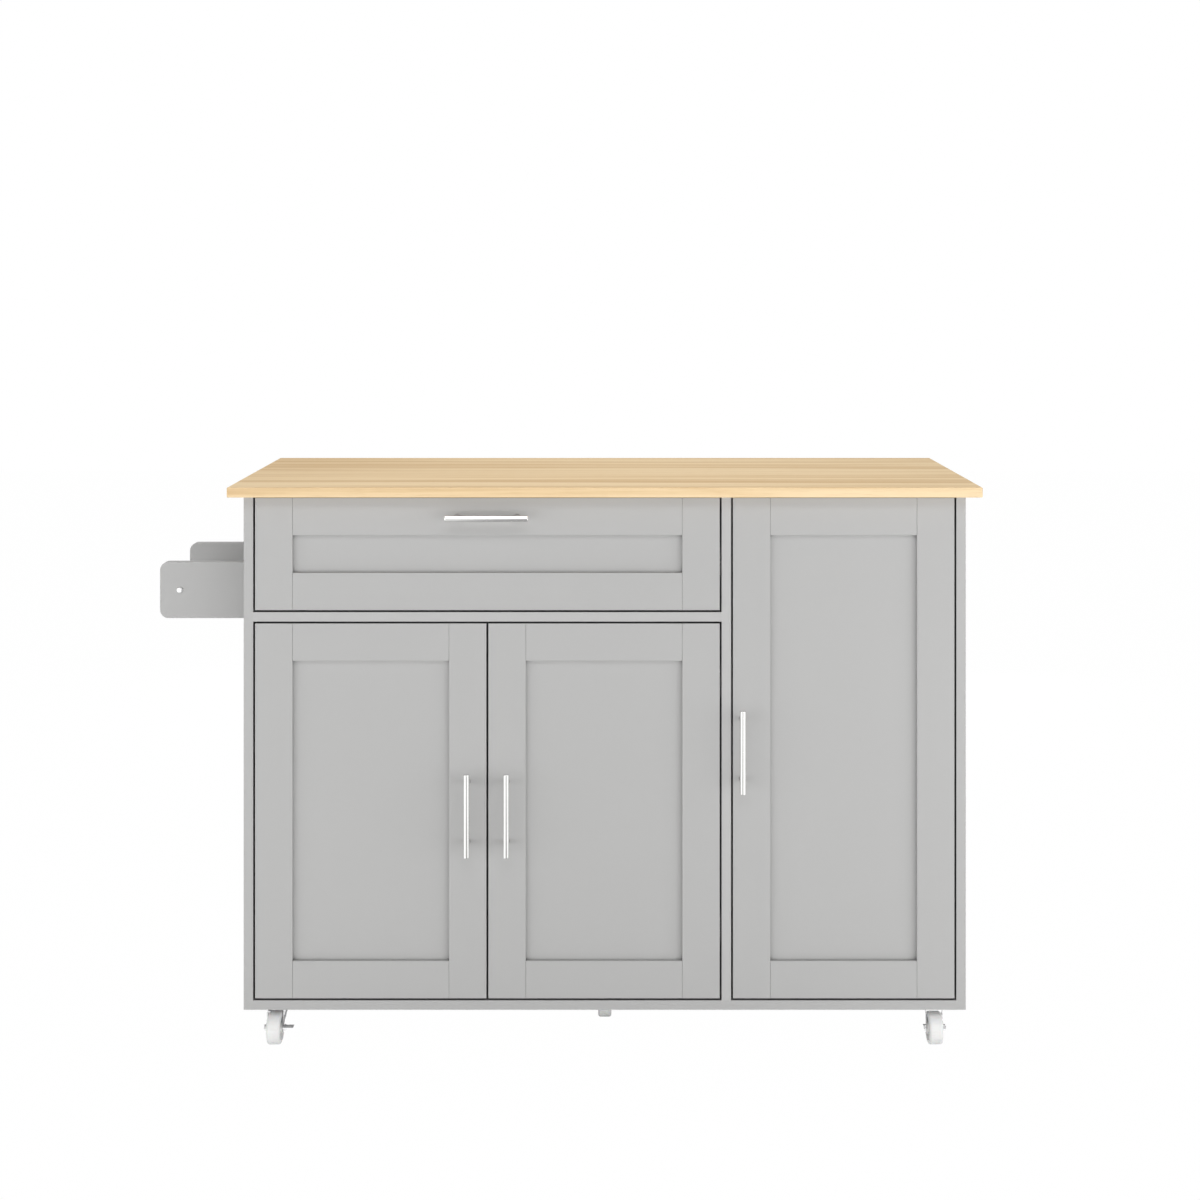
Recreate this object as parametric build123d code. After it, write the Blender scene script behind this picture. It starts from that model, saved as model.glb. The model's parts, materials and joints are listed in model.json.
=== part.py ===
from build123d import *
from math import acos, atan2, cos, hypot, radians, sin
import os

# Rolling kitchen island: a solid wood worktop on a cabinet with one drawer, three framed doors,
# a towel rack on its left side and five swivel castors.
#
# Millimetres. X runs to the right along the front, Y from the front to the back, Z up from the floor.
# The origin is on the floor, under the middle of the whole outline, rack and handles included.
# Each function makes one sub-assembly and gives back its nodes by name.

# Overall sizes
WORKTOP_WIDTH = 1200.0
WORKTOP_DEPTH = 450.0
WORKTOP_THICK = 16.0
WORKTOP_EDGE_ROUND = 1.5
OVERALL_HEIGHT = 900.0
OVERHANG = 22.5
CASTOR_HEIGHT = 62.0
RACK_REACH = 158.0
HANDLE_PROUD = 32.0

# Boards
BOARD = 15.0
BACK_THICK = 6.0
BACK_INSET = 9.0
BACK_GROOVE = 5.0
STRETCHER_WIDTH = 60.0
STRETCHER_SET_BACK = 30.0
SHELF_BACK_GAP = 2.0

# Framed fronts
GAP = 3.0
FRAME_THICK = 18.0
FRAME_WIDTH = 60.0
FRAME_CHAMFER = 0.6
PANEL_THICK = 6.0
PANEL_RECESS = 8.0
PANEL_TONGUE = 8.0
DOOR_HEIGHT = 600.0
DRAWER_FRONT_HEIGHT = 180.0
TALL_BAY_WIDTH = 360.5

# Shelves and their pins
SHELF_FRONT_INSET = 45.0
SHELF_SIDE_PLAY = 1.0
PIN_RADIUS = 2.5
PIN_DEPTH = 6.5
PIN_OUT = 9.0
PIN_PITCH = 32.0
PIN_COLUMN_INSET = 40.0
PIN_COLLAR_RADIUS = 3.5
PIN_COLLAR_THICK = 0.9
LEFT_SHELF_UNDERS = [370.0]
TALL_SHELF_UNDERS = [330.0, 590.0]

# Drawer
DRAWER_SIDE_GAP = 13.0
DRAWER_BOARD = 12.0
DRAWER_BOX_LOW = 715.0
DRAWER_BOX_HEIGHT = 120.0
DRAWER_BOX_DEPTH = 350.0
DRAWER_BOTTOM_THICK = 5.0
DRAWER_BOTTOM_RISE = 8.0
DRAWER_GROOVE = 5.0
DRAWER_SCREW_INSET = 20.0
RUNNER_THICK = 1.2
OUTER_RUNNER = {"reach": 10.0, "half_height": 22.5}
MIDDLE_RUNNER = {"reach": 6.4, "half_height": 19.4}
DRAWER_RUNNER = {"reach": 5.4, "half_height": 15.4}
MIDDLE_RUNNER_SET_OUT = 4.6
RUNNER_FRONT_INSET = FRAME_THICK + 2.0

# Cup hinges: the pin stands in the cup, and the arm reaches round the door's edge
HINGE_EDGE = 15.0
HINGE_SET_BACK = 9.0
HINGE_CUP_RADIUS = 17.5
HINGE_CUP_CENTRE = 21.5
HINGE_CUP_DEPTH = 13.0
HINGE_CUP_WALL = 0.9
HINGE_PIN_RADIUS = 1.5
HINGE_PIN_REACH = 15.5
HINGE_END_DISTANCE = 100.0
HINGE_ARM_RADIUS = 19.7
HINGE_ARM_THICK = 2.0
HINGE_ARM_WIDTH = 12.0
HINGE_ARM_ANGLES = (radians(26), radians(118))
HINGE_EYE_WALL = 1.3
HINGE_BODY_Y = (27.0, 63.0)
HINGE_BODY_FAR = 8.0
HINGE_BRIDGE_SIZE = (4.0, 6.0)
HINGE_BRIDGE_BACK = 1.5
HINGE_TROUGH_Y = (40.0, 70.0)
HINGE_TROUGH_FLOOR = 2.5
HINGE_TROUGH_WALL = 1.2
HINGE_CUP_FLOOR = 0.8
HINGE_FLANGE_SIZE = (39.0, 60.0)
HINGE_FLANGE_CORNER = 8.0
HINGE_FLANGE_THICK = 1.2
HINGE_CUP_SCREW_STEP = 24.0
HINGE_CUP_SCREW_ASIDE = 5.0
HINGE_PLATE_THICK = 2.0
HINGE_PLATE_ACROSS = ((27.0, 63.0), (-9.0, 9.0))
HINGE_PLATE_UPRIGHT = ((34.0, 54.0), (-25.0, 25.0))
HINGE_PLATE_SCREW_Y = 44.0
HINGE_PLATE_SCREW_STEP = 17.0

# Bar handles
HANDLE_RADIUS = 5.0
HANDLE_LENGTH = 132.0
HANDLE_PITCH = 96.0
HANDLE_POST_RADIUS = 4.0
HANDLE_EDGE_ROUND = 0.6
TALL_HANDLE_INSET = 14.0
HANDLE_HEAD_ROOM_RADIUS = 5.0
HANDLE_HEAD_ROOM_DEPTH = 4.0

# Towel rack
RACK_THICK = 15.0
RACK_HEIGHT = 93.0
RACK_LOW = 670.0
RACK_CORNER = 14.0
RACK_SPACING = 205.0
RACK_ROD_RADIUS = 8.0
RACK_ROD_INSET = 33.0
RACK_SCREW_RISES = (12.0, 40.0)

# Castors
CASTOR_INSET = 47.0
CASTOR_SET_BACK = 38.0
MIDDLE_CASTOR_SET_BACK = 142.0
CASTOR_TRAIL = 18.0
WHEEL_RADIUS = 25.0
WHEEL_WIDTH = 22.0
WHEEL_EDGE_ROUND = 4.0
AXLE_RADIUS = 3.0
FORK_INNER = 12.2
FORK_STEEL = 1.8
CROWN_LOW = 54.0
KINGPIN_RADIUS = 3.5
BRAKE_PIVOT = (8.0, 42.0)
BRAKE_PIN_RADIUS = 1.5
BRAKE_TAB = (-34.0, 31.5)
BRAKE_TAB_REACH = 31.5
BRAKE_STEEL = 1.5
BRAKE_SHOE_REACH = 8.0
BRAKE_SHOE_TIP = 1.2
BRAKE_SHOE_CLEAR = 0.3
CASTOR_PLATE_SIZE = 42.0
CASTOR_PLATE_CORNER = 5.0
CASTOR_PLATE_THICK = 2.0
CASTOR_SCREW_STEP = 15.0
RACEWAY_RADIUS = 13.0
RACEWAY_LOW = 57.5
KINGPIN_LOW = 52.4
KINGPIN_HEAD_RADIUS = 6.0
KINGPIN_HEAD_Z = (52.2, 53.8)
FORK_DEPTH = 29.0
FORK_SHOULDER = 4.0
CROWN_THICK = 2.0
CROWN_RING_RADIUS = 14.0
CROWN_RING_THICK = 1.3
AXLE_BOSS_RADIUS = 6.5
AXLE_NUT_RADIUS = 5.2
AXLE_NUT_THICK = 4.0
AXLE_HEAD_THICK = 3.6
AXLE_END = 5.0
HUB_GAP = 0.4
HUB_RADIUS = 8.0
WEB_HALF_THICK = 5.0
WEB_RADII = (9.0, 18.0)
RIM_INNER_RADIUS = 19.0
BRAKE_BOSS_RADIUS = 4.5
BRAKE_LEVER_GAP = 0.4
BRAKE_LEVER_RADII = (4.2, 1.8)
BRAKE_TAB_LENGTH = 12.0
BRAKE_SHOE_BOSS_RADIUS = 3.0
BRAKE_SHOE_HALF_WIDTH = 10.0
BRAKE_RIVET_RADIUS = 2.6
BRAKE_RIVET_THICK = 1.2

# Cam fittings
CAM_RADIUS = 7.4
CAM_DEPTH = 12.0
CAM_SET_BACK = 24.0
CAM_END_INSET = 70.0
CAM_BOLT_RADIUS = 2.5
CAM_BOLT_REACH = 20.0
CAM_BOLT_BITE = 6.0
CAM_SLOT_LENGTH = 10.0
CAM_SLOT_WIDTH = 1.2
CAM_SLOT_DEPTH = 2.0

# Screws, as (shank radius, head radius, head height), and how far each kind bites
CONNECTOR_SCREW = (2.5, 4.5, 3.0)
CONNECTOR_LENGTH = 50.0
CONNECTOR_INSET = 60.0
BACK_SCREW = (1.5, 3.2, 1.6)
BACK_SCREW_BITE = 14.0
BACK_SCREW_HEIGHTS = (110.0, 250.0, 390.0, 530.0, 670.0, 860.0)
BACK_SCREW_STAGGER = 3.75
DECK_SCREW_SHARES = (0.15, 0.5, 0.85)
WORKTOP_SCREW = (2.0, 4.0, 2.4)
WORKTOP_SCREW_BITE = 10.0
WORKTOP_SCREW_INSET = 90.0
WORKTOP_SCREW_INSET_TALL = 70.0
CASTOR_SCREW = (2.0, 3.5, 2.0)
CASTOR_SCREW_BITE = 12.0
RACK_ROD_SCREW = (2.0, 5.0, 2.2)
RACK_ROD_SCREW_BITE = 20.0
RACK_BRACKET_SCREW = (2.0, 4.0, 2.4)
RACK_BRACKET_SCREW_BITE = 30.0
HANDLE_SCREW = (2.0, 4.0, 2.5)
HANDLE_SCREW_BITE = 10.0
HINGE_CUP_SCREW = (1.6, 3.2, 1.4)
HINGE_CUP_SCREW_BITE = 11.0
HINGE_PLATE_SCREW = (1.8, 3.4, 1.6)
HINGE_PLATE_SCREW_BITE = 10.0
DRAWER_SCREW = (1.6, 3.4, 1.8)
DRAWER_SCREW_BITE = 5.0

# Clearance of every pin that turns in a bore, on the radius
RUNNING = 0.05

# Where the carcass stands
CARCASS_WIDTH = WORKTOP_WIDTH - 2 * OVERHANG
CARCASS_DEPTH = WORKTOP_DEPTH - 2 * OVERHANG
LEFT = -(RACK_REACH + CARCASS_WIDTH + OVERHANG) / 2 + RACK_REACH
RIGHT = LEFT + CARCASS_WIDTH
FRONT = -(HANDLE_PROUD + CARCASS_DEPTH + OVERHANG) / 2 + HANDLE_PROUD
REAR = FRONT + CARCASS_DEPTH
MIDDLE_X = (LEFT + RIGHT) / 2
LEFT_INNER = LEFT + BOARD
RIGHT_INNER = RIGHT - BOARD
DIVIDER_RIGHT = RIGHT_INNER - TALL_BAY_WIDTH
DIVIDER_LEFT = DIVIDER_RIGHT - BOARD
BACK_FRONT = REAR - BACK_INSET - BACK_THICK

# Heights
FLOOR_TOP = CASTOR_HEIGHT + BOARD
WORKTOP_UNDER = OVERALL_HEIGHT - WORKTOP_THICK
DOOR_LOW = FLOOR_TOP + GAP
DECK_LOW = DOOR_LOW + DOOR_HEIGHT + GAP
DECK_HIGH = DECK_LOW + BOARD
DRAWER_FRONT_LOW = DECK_HIGH + GAP
TALL_DOOR_HEIGHT = WORKTOP_UNDER - GAP - DOOR_LOW

# The middle line of the rack's rod, which runs front to back
RACK_ROD_X = LEFT - RACK_REACH + RACK_ROD_INSET
RACK_ROD_Z = RACK_LOW + RACK_HEIGHT / 2


def block(x, y, z):
    """A box from three (low, high) pairs."""
    centre = [(low + high) / 2 for low, high in (x, y, z)]
    return Pos(*centre) * Box(x[1] - x[0], y[1] - y[0], z[1] - z[0])


def rod(radius, start, end):
    """A round bar from one point to another."""
    axis = Vector(*end) - Vector(*start)
    place = Plane(origin=start, z_dir=axis)
    return place * Cylinder(radius, axis.length, align=(Align.CENTER, Align.CENTER, Align.MIN))


def group(shapes):
    """Several separate solids as one node."""
    return Compound([solid for shape in shapes for solid in shape.solids()])


def cut(shape, tools):
    for tool in tools:
        shape = shape - tool
    return shape


def slab_yz(sketch, x_low, x_high):
    """A flat piece drawn in the Y-Z plane, from x_low to x_high."""
    return Pos(x_low, 0, 0) * extrude(Plane.YZ * sketch, x_high - x_low)


def slab_xy(sketch, z_low, z_high):
    """A flat piece drawn in the X-Y plane, from z_low to z_high."""
    return Pos(0, 0, z_low) * extrude(sketch, z_high - z_low)


def pan_screw(head, tip, kind):
    """A pan-head screw whose head rests at the point head, and which runs to the point tip."""
    shank, head_radius, head_height = kind
    way = (Vector(*tip) - Vector(*head)).normalized()
    back = Vector(*head) - way * head_height
    return rod(head_radius, tuple(back), head) + rod(shank, head, tip)


# ---------------------------------------------------------------- fasteners

def floor_screws():
    """Connector screws up through the floor board into the three upright boards."""
    shank, head_radius, head_height = CONNECTOR_SCREW
    screws = []
    for x in (LEFT + BOARD / 2, (DIVIDER_LEFT + DIVIDER_RIGHT) / 2, RIGHT - BOARD / 2):
        for y in (FRONT + CONNECTOR_INSET, (FRONT + REAR) / 2, REAR - CONNECTOR_INSET):
            low = (x, y, CASTOR_HEIGHT)
            head = rod(head_radius, low, (x, y, CASTOR_HEIGHT + head_height))
            screws.append(head + rod(shank, low, (x, y, CASTOR_HEIGHT + CONNECTOR_LENGTH)))
    return screws


def back_screws():
    """Pan-head screws that hold the two back boards to the divider and the deck."""
    rear = REAR - BACK_INSET
    seam = (DIVIDER_LEFT + DIVIDER_RIGHT) / 2
    screws = []
    for row, z in enumerate(BACK_SCREW_HEIGHTS):
        x = seam + (BACK_SCREW_STAGGER if row % 2 else -BACK_SCREW_STAGGER)
        screws.append(pan_screw((x, rear, z), (x, BACK_FRONT - BACK_SCREW_BITE, z), BACK_SCREW))
    for share in DECK_SCREW_SHARES:
        x = LEFT_INNER + share * (DIVIDER_LEFT - LEFT_INNER)
        z = (DECK_LOW + DECK_HIGH) / 2
        screws.append(pan_screw((x, rear, z), (x, BACK_FRONT - BACK_SCREW_BITE, z), BACK_SCREW))
    return screws


def stretcher_rows():
    """The Y ranges of the front and the rear stretchers."""
    first = FRONT + STRETCHER_SET_BACK
    front = (first, first + STRETCHER_WIDTH)
    rear = (BACK_FRONT - STRETCHER_WIDTH, BACK_FRONT)
    return front, rear


def worktop_screws():
    """Pan-head screws up through the stretchers into the worktop."""
    columns = (
        LEFT_INNER + WORKTOP_SCREW_INSET,
        DIVIDER_LEFT - WORKTOP_SCREW_INSET,
        DIVIDER_RIGHT + WORKTOP_SCREW_INSET_TALL,
        RIGHT_INNER - WORKTOP_SCREW_INSET_TALL,
    )
    under = WORKTOP_UNDER - BOARD
    screws = []
    for low, high in stretcher_rows():
        for x in columns:
            y = (low + high) / 2
            screws.append(pan_screw((x, y, under), (x, y, WORKTOP_UNDER + WORKTOP_SCREW_BITE), WORKTOP_SCREW))
    return screws


def cam_places():
    """End x, way into the board, y, z centre and open face of each cam on the deck and the stretchers."""
    places = []
    for end, way in ((LEFT_INNER, 1), (DIVIDER_LEFT, -1)):
        for y in (FRONT + CAM_END_INSET, BACK_FRONT - CAM_END_INSET):
            places.append((end, way, y, (DECK_LOW + DECK_HIGH) / 2, DECK_LOW))
    middle = WORKTOP_UNDER - BOARD / 2
    for end, way in ((LEFT_INNER, 1), (DIVIDER_LEFT, -1), (DIVIDER_RIGHT, 1), (RIGHT_INNER, -1)):
        for low, high in stretcher_rows():
            places.append((end, way, (low + high) / 2, middle, WORKTOP_UNDER - BOARD))
    return places


def cam_bores():
    """The round seat of each cam, and the bolt that it draws in."""
    seats = []
    bolts = []
    for end, way, y, z, face in cam_places():
        x = end + way * CAM_SET_BACK
        seats.append(rod(CAM_RADIUS, (x, y, face), (x, y, face + CAM_DEPTH)))
        bolt_ends = (end - way * CAM_BOLT_BITE, y, z), (end + way * CAM_BOLT_REACH, y, z)
        bolts.append(rod(CAM_BOLT_RADIUS, *bolt_ends))
    return seats, bolts


def cam_fittings():
    """Cams with a screwdriver slot in their open face, and their bolts."""
    seats, bolts = cam_bores()
    half_length = CAM_SLOT_LENGTH / 2
    half_width = CAM_SLOT_WIDTH / 2
    cams = []
    for seat, bolt, (end, way, y, _, face) in zip(seats, bolts, cam_places()):
        x = end + way * CAM_SET_BACK
        slot_x = (x - half_length, x + half_length)
        slot_y = (y - half_width, y + half_width)
        slot = block(slot_x, slot_y, (face, face + CAM_SLOT_DEPTH))
        cams.append(seat - slot - bolt)
    return cams + bolts


def castor_places():
    """Name, swivel axis X and Y, and the side that its brake tab is on (0 for no brake)."""
    near = FRONT + CASTOR_SET_BACK
    far = REAR - CASTOR_SET_BACK
    return [
        ("front_left", LEFT + CASTOR_INSET, near, 1),
        ("front_right", RIGHT - CASTOR_INSET, near, 0),
        ("rear_left", LEFT + CASTOR_INSET, far, 0),
        ("rear_right", RIGHT - CASTOR_INSET, far, -1),
        ("middle", MIDDLE_X, FRONT + MIDDLE_CASTOR_SET_BACK, 0),
    ]


def castor_screws():
    """Four screws through each castor's plate into the floor board."""
    steps = (-CASTOR_SCREW_STEP, CASTOR_SCREW_STEP)
    screws = []
    for _, x, y, _ in castor_places():
        for across in steps:
            for back in steps:
                head = (x + across, y + back, CASTOR_HEIGHT - CASTOR_PLATE_THICK)
                tip = (x + across, y + back, CASTOR_HEIGHT + CASTOR_SCREW_BITE)
                screws.append(pan_screw(head, tip, CASTOR_SCREW))
    return screws


def rack_rows():
    """The Y ranges of the front and the rear rack bracket."""
    first = (FRONT + REAR) / 2 - (RACK_SPACING + RACK_THICK) / 2
    return (first, first + RACK_THICK), (first + RACK_SPACING, first + RACK_SPACING + RACK_THICK)


def rack_screws():
    """Two screws into the ends of the rod, and two through the side board into each bracket."""
    front, rear = rack_rows()
    x = RACK_ROD_X
    z = RACK_ROD_Z
    screws = [
        pan_screw((x, front[0], z), (x, front[1] + RACK_ROD_SCREW_BITE, z), RACK_ROD_SCREW),
        pan_screw((x, rear[1], z), (x, rear[0] - RACK_ROD_SCREW_BITE, z), RACK_ROD_SCREW),
    ]
    for low, high in (front, rear):
        y = (low + high) / 2
        for rise in RACK_SCREW_RISES:
            z = DECK_HIGH + rise
            tip = (LEFT - RACK_BRACKET_SCREW_BITE, y, z)
            screws.append(pan_screw((LEFT_INNER, y, z), tip, RACK_BRACKET_SCREW))
    return screws


# ---------------------------------------------------------------- carcass

def pin_heights(under):
    return [under - PIN_RADIUS + step * PIN_PITCH for step in (-1, 0, 1)]


def pin_columns():
    return FRONT + SHELF_FRONT_INSET + PIN_COLUMN_INSET, BACK_FRONT - PIN_COLUMN_INSET


def pin_holes(face, way, unders):
    """Blind holes in a board's face, in columns of three round each shelf height."""
    return [
        rod(PIN_RADIUS, (face, y, z), (face - way * PIN_DEPTH, y, z))
        for under in unders
        for z in pin_heights(under)
        for y in pin_columns()
    ]


def shelf_pins():
    """A pin with a collar in the middle hole of each column."""
    pins = []
    faces = [
        (LEFT_INNER, 1, LEFT_SHELF_UNDERS),
        (DIVIDER_LEFT, -1, LEFT_SHELF_UNDERS),
        (DIVIDER_RIGHT, 1, TALL_SHELF_UNDERS),
        (RIGHT_INNER, -1, TALL_SHELF_UNDERS),
    ]
    for face, way, unders in faces:
        for under in unders:
            for y in pin_columns():
                z = under - PIN_RADIUS
                pin = rod(PIN_RADIUS, (face - way * PIN_DEPTH, y, z), (face + way * PIN_OUT, y, z))
                collar = rod(PIN_COLLAR_RADIUS, (face, y, z), (face + way * PIN_COLLAR_THICK, y, z))
                pins.append(pin + collar)
    return pins


def carcass():
    """The boards that stand still, with every hole that a fastener runs in."""
    screws = floor_screws() + back_screws()
    top_screws = worktop_screws()
    rack = rack_screws()
    seats, bolts = cam_bores()
    upright = (FLOOR_TOP, WORKTOP_UNDER)
    depth = (FRONT, REAR)
    inner_depth = (FRONT, BACK_FRONT)
    seam = (DIVIDER_LEFT + DIVIDER_RIGHT) / 2
    back_depth = (BACK_FRONT, REAR - BACK_INSET)
    back_left = block((LEFT_INNER - BACK_GROOVE, seam), back_depth, upright)
    back_right = block((seam, RIGHT_INNER + BACK_GROOVE), back_depth, upright)

    worktop = block(
        (LEFT - OVERHANG, RIGHT + OVERHANG),
        (FRONT - OVERHANG, REAR + OVERHANG),
        (WORKTOP_UNDER, OVERALL_HEIGHT),
    )
    worktop = fillet(worktop.edges(), WORKTOP_EDGE_ROUND)
    side_left = block((LEFT, LEFT_INNER), depth, upright)
    side_right = block((RIGHT_INNER, RIGHT), depth, upright)
    divider = block((DIVIDER_LEFT, DIVIDER_RIGHT), inner_depth, upright)
    floor = block((LEFT, RIGHT), depth, (CASTOR_HEIGHT, FLOOR_TOP))
    deck = block((LEFT_INNER, DIVIDER_LEFT), inner_depth, (DECK_LOW, DECK_HIGH))
    stretchers = [
        block(span, row, (WORKTOP_UNDER - BOARD, WORKTOP_UNDER))
        for span in ((LEFT_INNER, DIVIDER_LEFT), (DIVIDER_RIGHT, RIGHT_INNER))
        for row in stretcher_rows()
    ]
    left_holes = pin_holes(LEFT_INNER, 1, LEFT_SHELF_UNDERS)
    divider_holes = pin_holes(DIVIDER_LEFT, -1, LEFT_SHELF_UNDERS)
    divider_holes += pin_holes(DIVIDER_RIGHT, 1, TALL_SHELF_UNDERS)
    right_holes = pin_holes(RIGHT_INNER, -1, TALL_SHELF_UNDERS)
    return {
        "worktop": cut(worktop, top_screws),
        "side_panel_left": cut(side_left, [back_left, *left_holes, *screws[:3], *bolts, *rack[2:]]),
        "side_panel_right": cut(side_right, [back_right, *right_holes, *screws[6:9], *bolts]),
        "divider_panel": cut(divider, [*divider_holes, *screws[3:6], *screws[9:], *bolts]),
        "floor_panel": cut(floor, [*screws[:9], *castor_screws()]),
        "drawer_deck": cut(deck, [*seats[:4], *bolts[:4], *screws[9:]]),
        "back_panels": group([cut(back_left, screws[9:]), cut(back_right, screws[9:])]),
        "top_stretchers": group([cut(s, [*seats[4:], *bolts[4:], *top_screws]) for s in stretchers]),
        "carcass_screws": group([*screws, *top_screws]),
        "cam_fittings": group(cam_fittings()),
    }


def shelves():
    depth = (FRONT + SHELF_FRONT_INSET, BACK_FRONT - SHELF_BACK_GAP)
    left = (LEFT_INNER + SHELF_SIDE_PLAY, DIVIDER_LEFT - SHELF_SIDE_PLAY)
    tall = (DIVIDER_RIGHT + SHELF_SIDE_PLAY, RIGHT_INNER - SHELF_SIDE_PLAY)
    return {
        "cupboard_shelf": block(left, depth, (LEFT_SHELF_UNDERS[0], LEFT_SHELF_UNDERS[0] + BOARD)),
        "tall_cupboard_shelves": group([block(tall, depth, (z, z + BOARD)) for z in TALL_SHELF_UNDERS]),
        "shelf_pins": group(shelf_pins()),
    }


def towel_rack():
    """Two brackets on the left side board, with a rod screwed between them."""
    front, rear = rack_rows()
    screws = rack_screws()

    def bracket(row):
        plate = block((LEFT - RACK_REACH, LEFT), row, (RACK_LOW, RACK_LOW + RACK_HEIGHT))
        corners = plate.edges().filter_by(Axis.Y).sort_by(Axis.X)[:2]
        return cut(fillet(corners, RACK_CORNER), screws)

    bar = rod(RACK_ROD_RADIUS, (RACK_ROD_X, front[1], RACK_ROD_Z), (RACK_ROD_X, rear[0], RACK_ROD_Z))
    return {
        "rack_bracket_front": bracket(front),
        "rack_bracket_rear": bracket(rear),
        "rack_rod": cut(bar, screws[:2]),
        "rack_screws": group(screws),
    }


# ---------------------------------------------------------------- framed fronts

def framed_front(width, height, cups=(), holes=()):
    """Two stiles, two rails and a grooved-in panel: hinge edge at x 0, front at y 0, bottom at z 0."""
    depth = (0, FRAME_THICK)
    groove = (PANEL_RECESS, PANEL_RECESS + PANEL_THICK)
    reach = FRAME_WIDTH - PANEL_TONGUE
    panel = block((reach, width - reach), groove, (reach, height - reach))

    def eased(piece):
        edges = piece.edges().filter_by_position(Axis.Y, -0.01, 0.01)
        return chamfer(edges, FRAME_CHAMFER)

    stiles = [
        block(span, depth, (0, height))
        for span in ((0, FRAME_WIDTH), (width - FRAME_WIDTH, width))
    ]
    rails = [
        block((FRAME_WIDTH, width - FRAME_WIDTH), depth, span)
        for span in ((0, FRAME_WIDTH), (height - FRAME_WIDTH, height))
    ]
    tools = [panel, *cups, *holes]
    return {
        "stiles": group([cut(eased(s), tools) for s in stiles]),
        "rails": group([cut(eased(r), tools) for r in rails]),
        "panel": panel,
    }


def bar_handle(middle, upright):
    """A round bar on two posts, screwed from behind, and the holes for its screws."""
    x, z = middle
    out = -(HANDLE_PROUD - HANDLE_RADIUS)

    def at(step, y):
        return (x, y, z + step) if upright else (x + step, y, z)

    bar = rod(HANDLE_RADIUS, at(-HANDLE_LENGTH / 2, out), at(HANDLE_LENGTH / 2, out))
    bar = chamfer(bar.edges().filter_by(GeomType.CIRCLE), HANDLE_EDGE_ROUND)
    solids = [bar]
    holes = []
    for step in (-HANDLE_PITCH / 2, HANDLE_PITCH / 2):
        screw = pan_screw(at(step, FRAME_THICK), at(step, -HANDLE_SCREW_BITE), HANDLE_SCREW)
        post = rod(HANDLE_POST_RADIUS, at(step, 0), at(step, out))
        solids += [post - bar - screw, screw]
        holes.append(rod(HANDLE_SCREW[0], at(step, FRAME_THICK), at(step, 0)))
    return solids, holes


def hinge_cup(z):
    """A cup hinge's door half at height z, and the bore that it is pressed into."""
    back = FRAME_THICK
    deep = back - HINGE_CUP_DEPTH
    bore = rod(HINGE_CUP_RADIUS, (HINGE_CUP_CENTRE, deep, z), (HINGE_CUP_CENTRE, back, z))
    outline = RectangleRounded(*HINGE_FLANGE_SIZE, HINGE_FLANGE_CORNER)
    flange = Plane.XZ.offset(-back) * Pos(HINGE_CUP_CENTRE, z) * outline
    shell = bore + extrude(flange, -HINGE_FLANGE_THICK)
    inside = HINGE_CUP_RADIUS - HINGE_CUP_WALL
    clear = back + 2 * HINGE_FLANGE_THICK
    hollow = rod(inside, (HINGE_CUP_CENTRE, deep + HINGE_CUP_FLOOR, z), (HINGE_CUP_CENTRE, clear, z))
    pin = rod(
        HINGE_PIN_RADIUS,
        (HINGE_EDGE, HINGE_SET_BACK, z - HINGE_PIN_REACH),
        (HINGE_EDGE, HINGE_SET_BACK, z + HINGE_PIN_REACH),
    )
    shell = shell - hollow - pin
    solids = [shell, pin]
    tools = [bore]
    x = HINGE_CUP_CENTRE + HINGE_CUP_SCREW_ASIDE
    for step in (-HINGE_CUP_SCREW_STEP, HINGE_CUP_SCREW_STEP):
        head = (x, back + HINGE_FLANGE_THICK, z + step)
        screw = pan_screw(head, (x, back - HINGE_CUP_SCREW_BITE, z + step), HINGE_CUP_SCREW)
        solids.append(screw)
        tools.append(screw)
    solids[0] = cut(shell, solids[2:])
    return solids, tools


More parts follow.
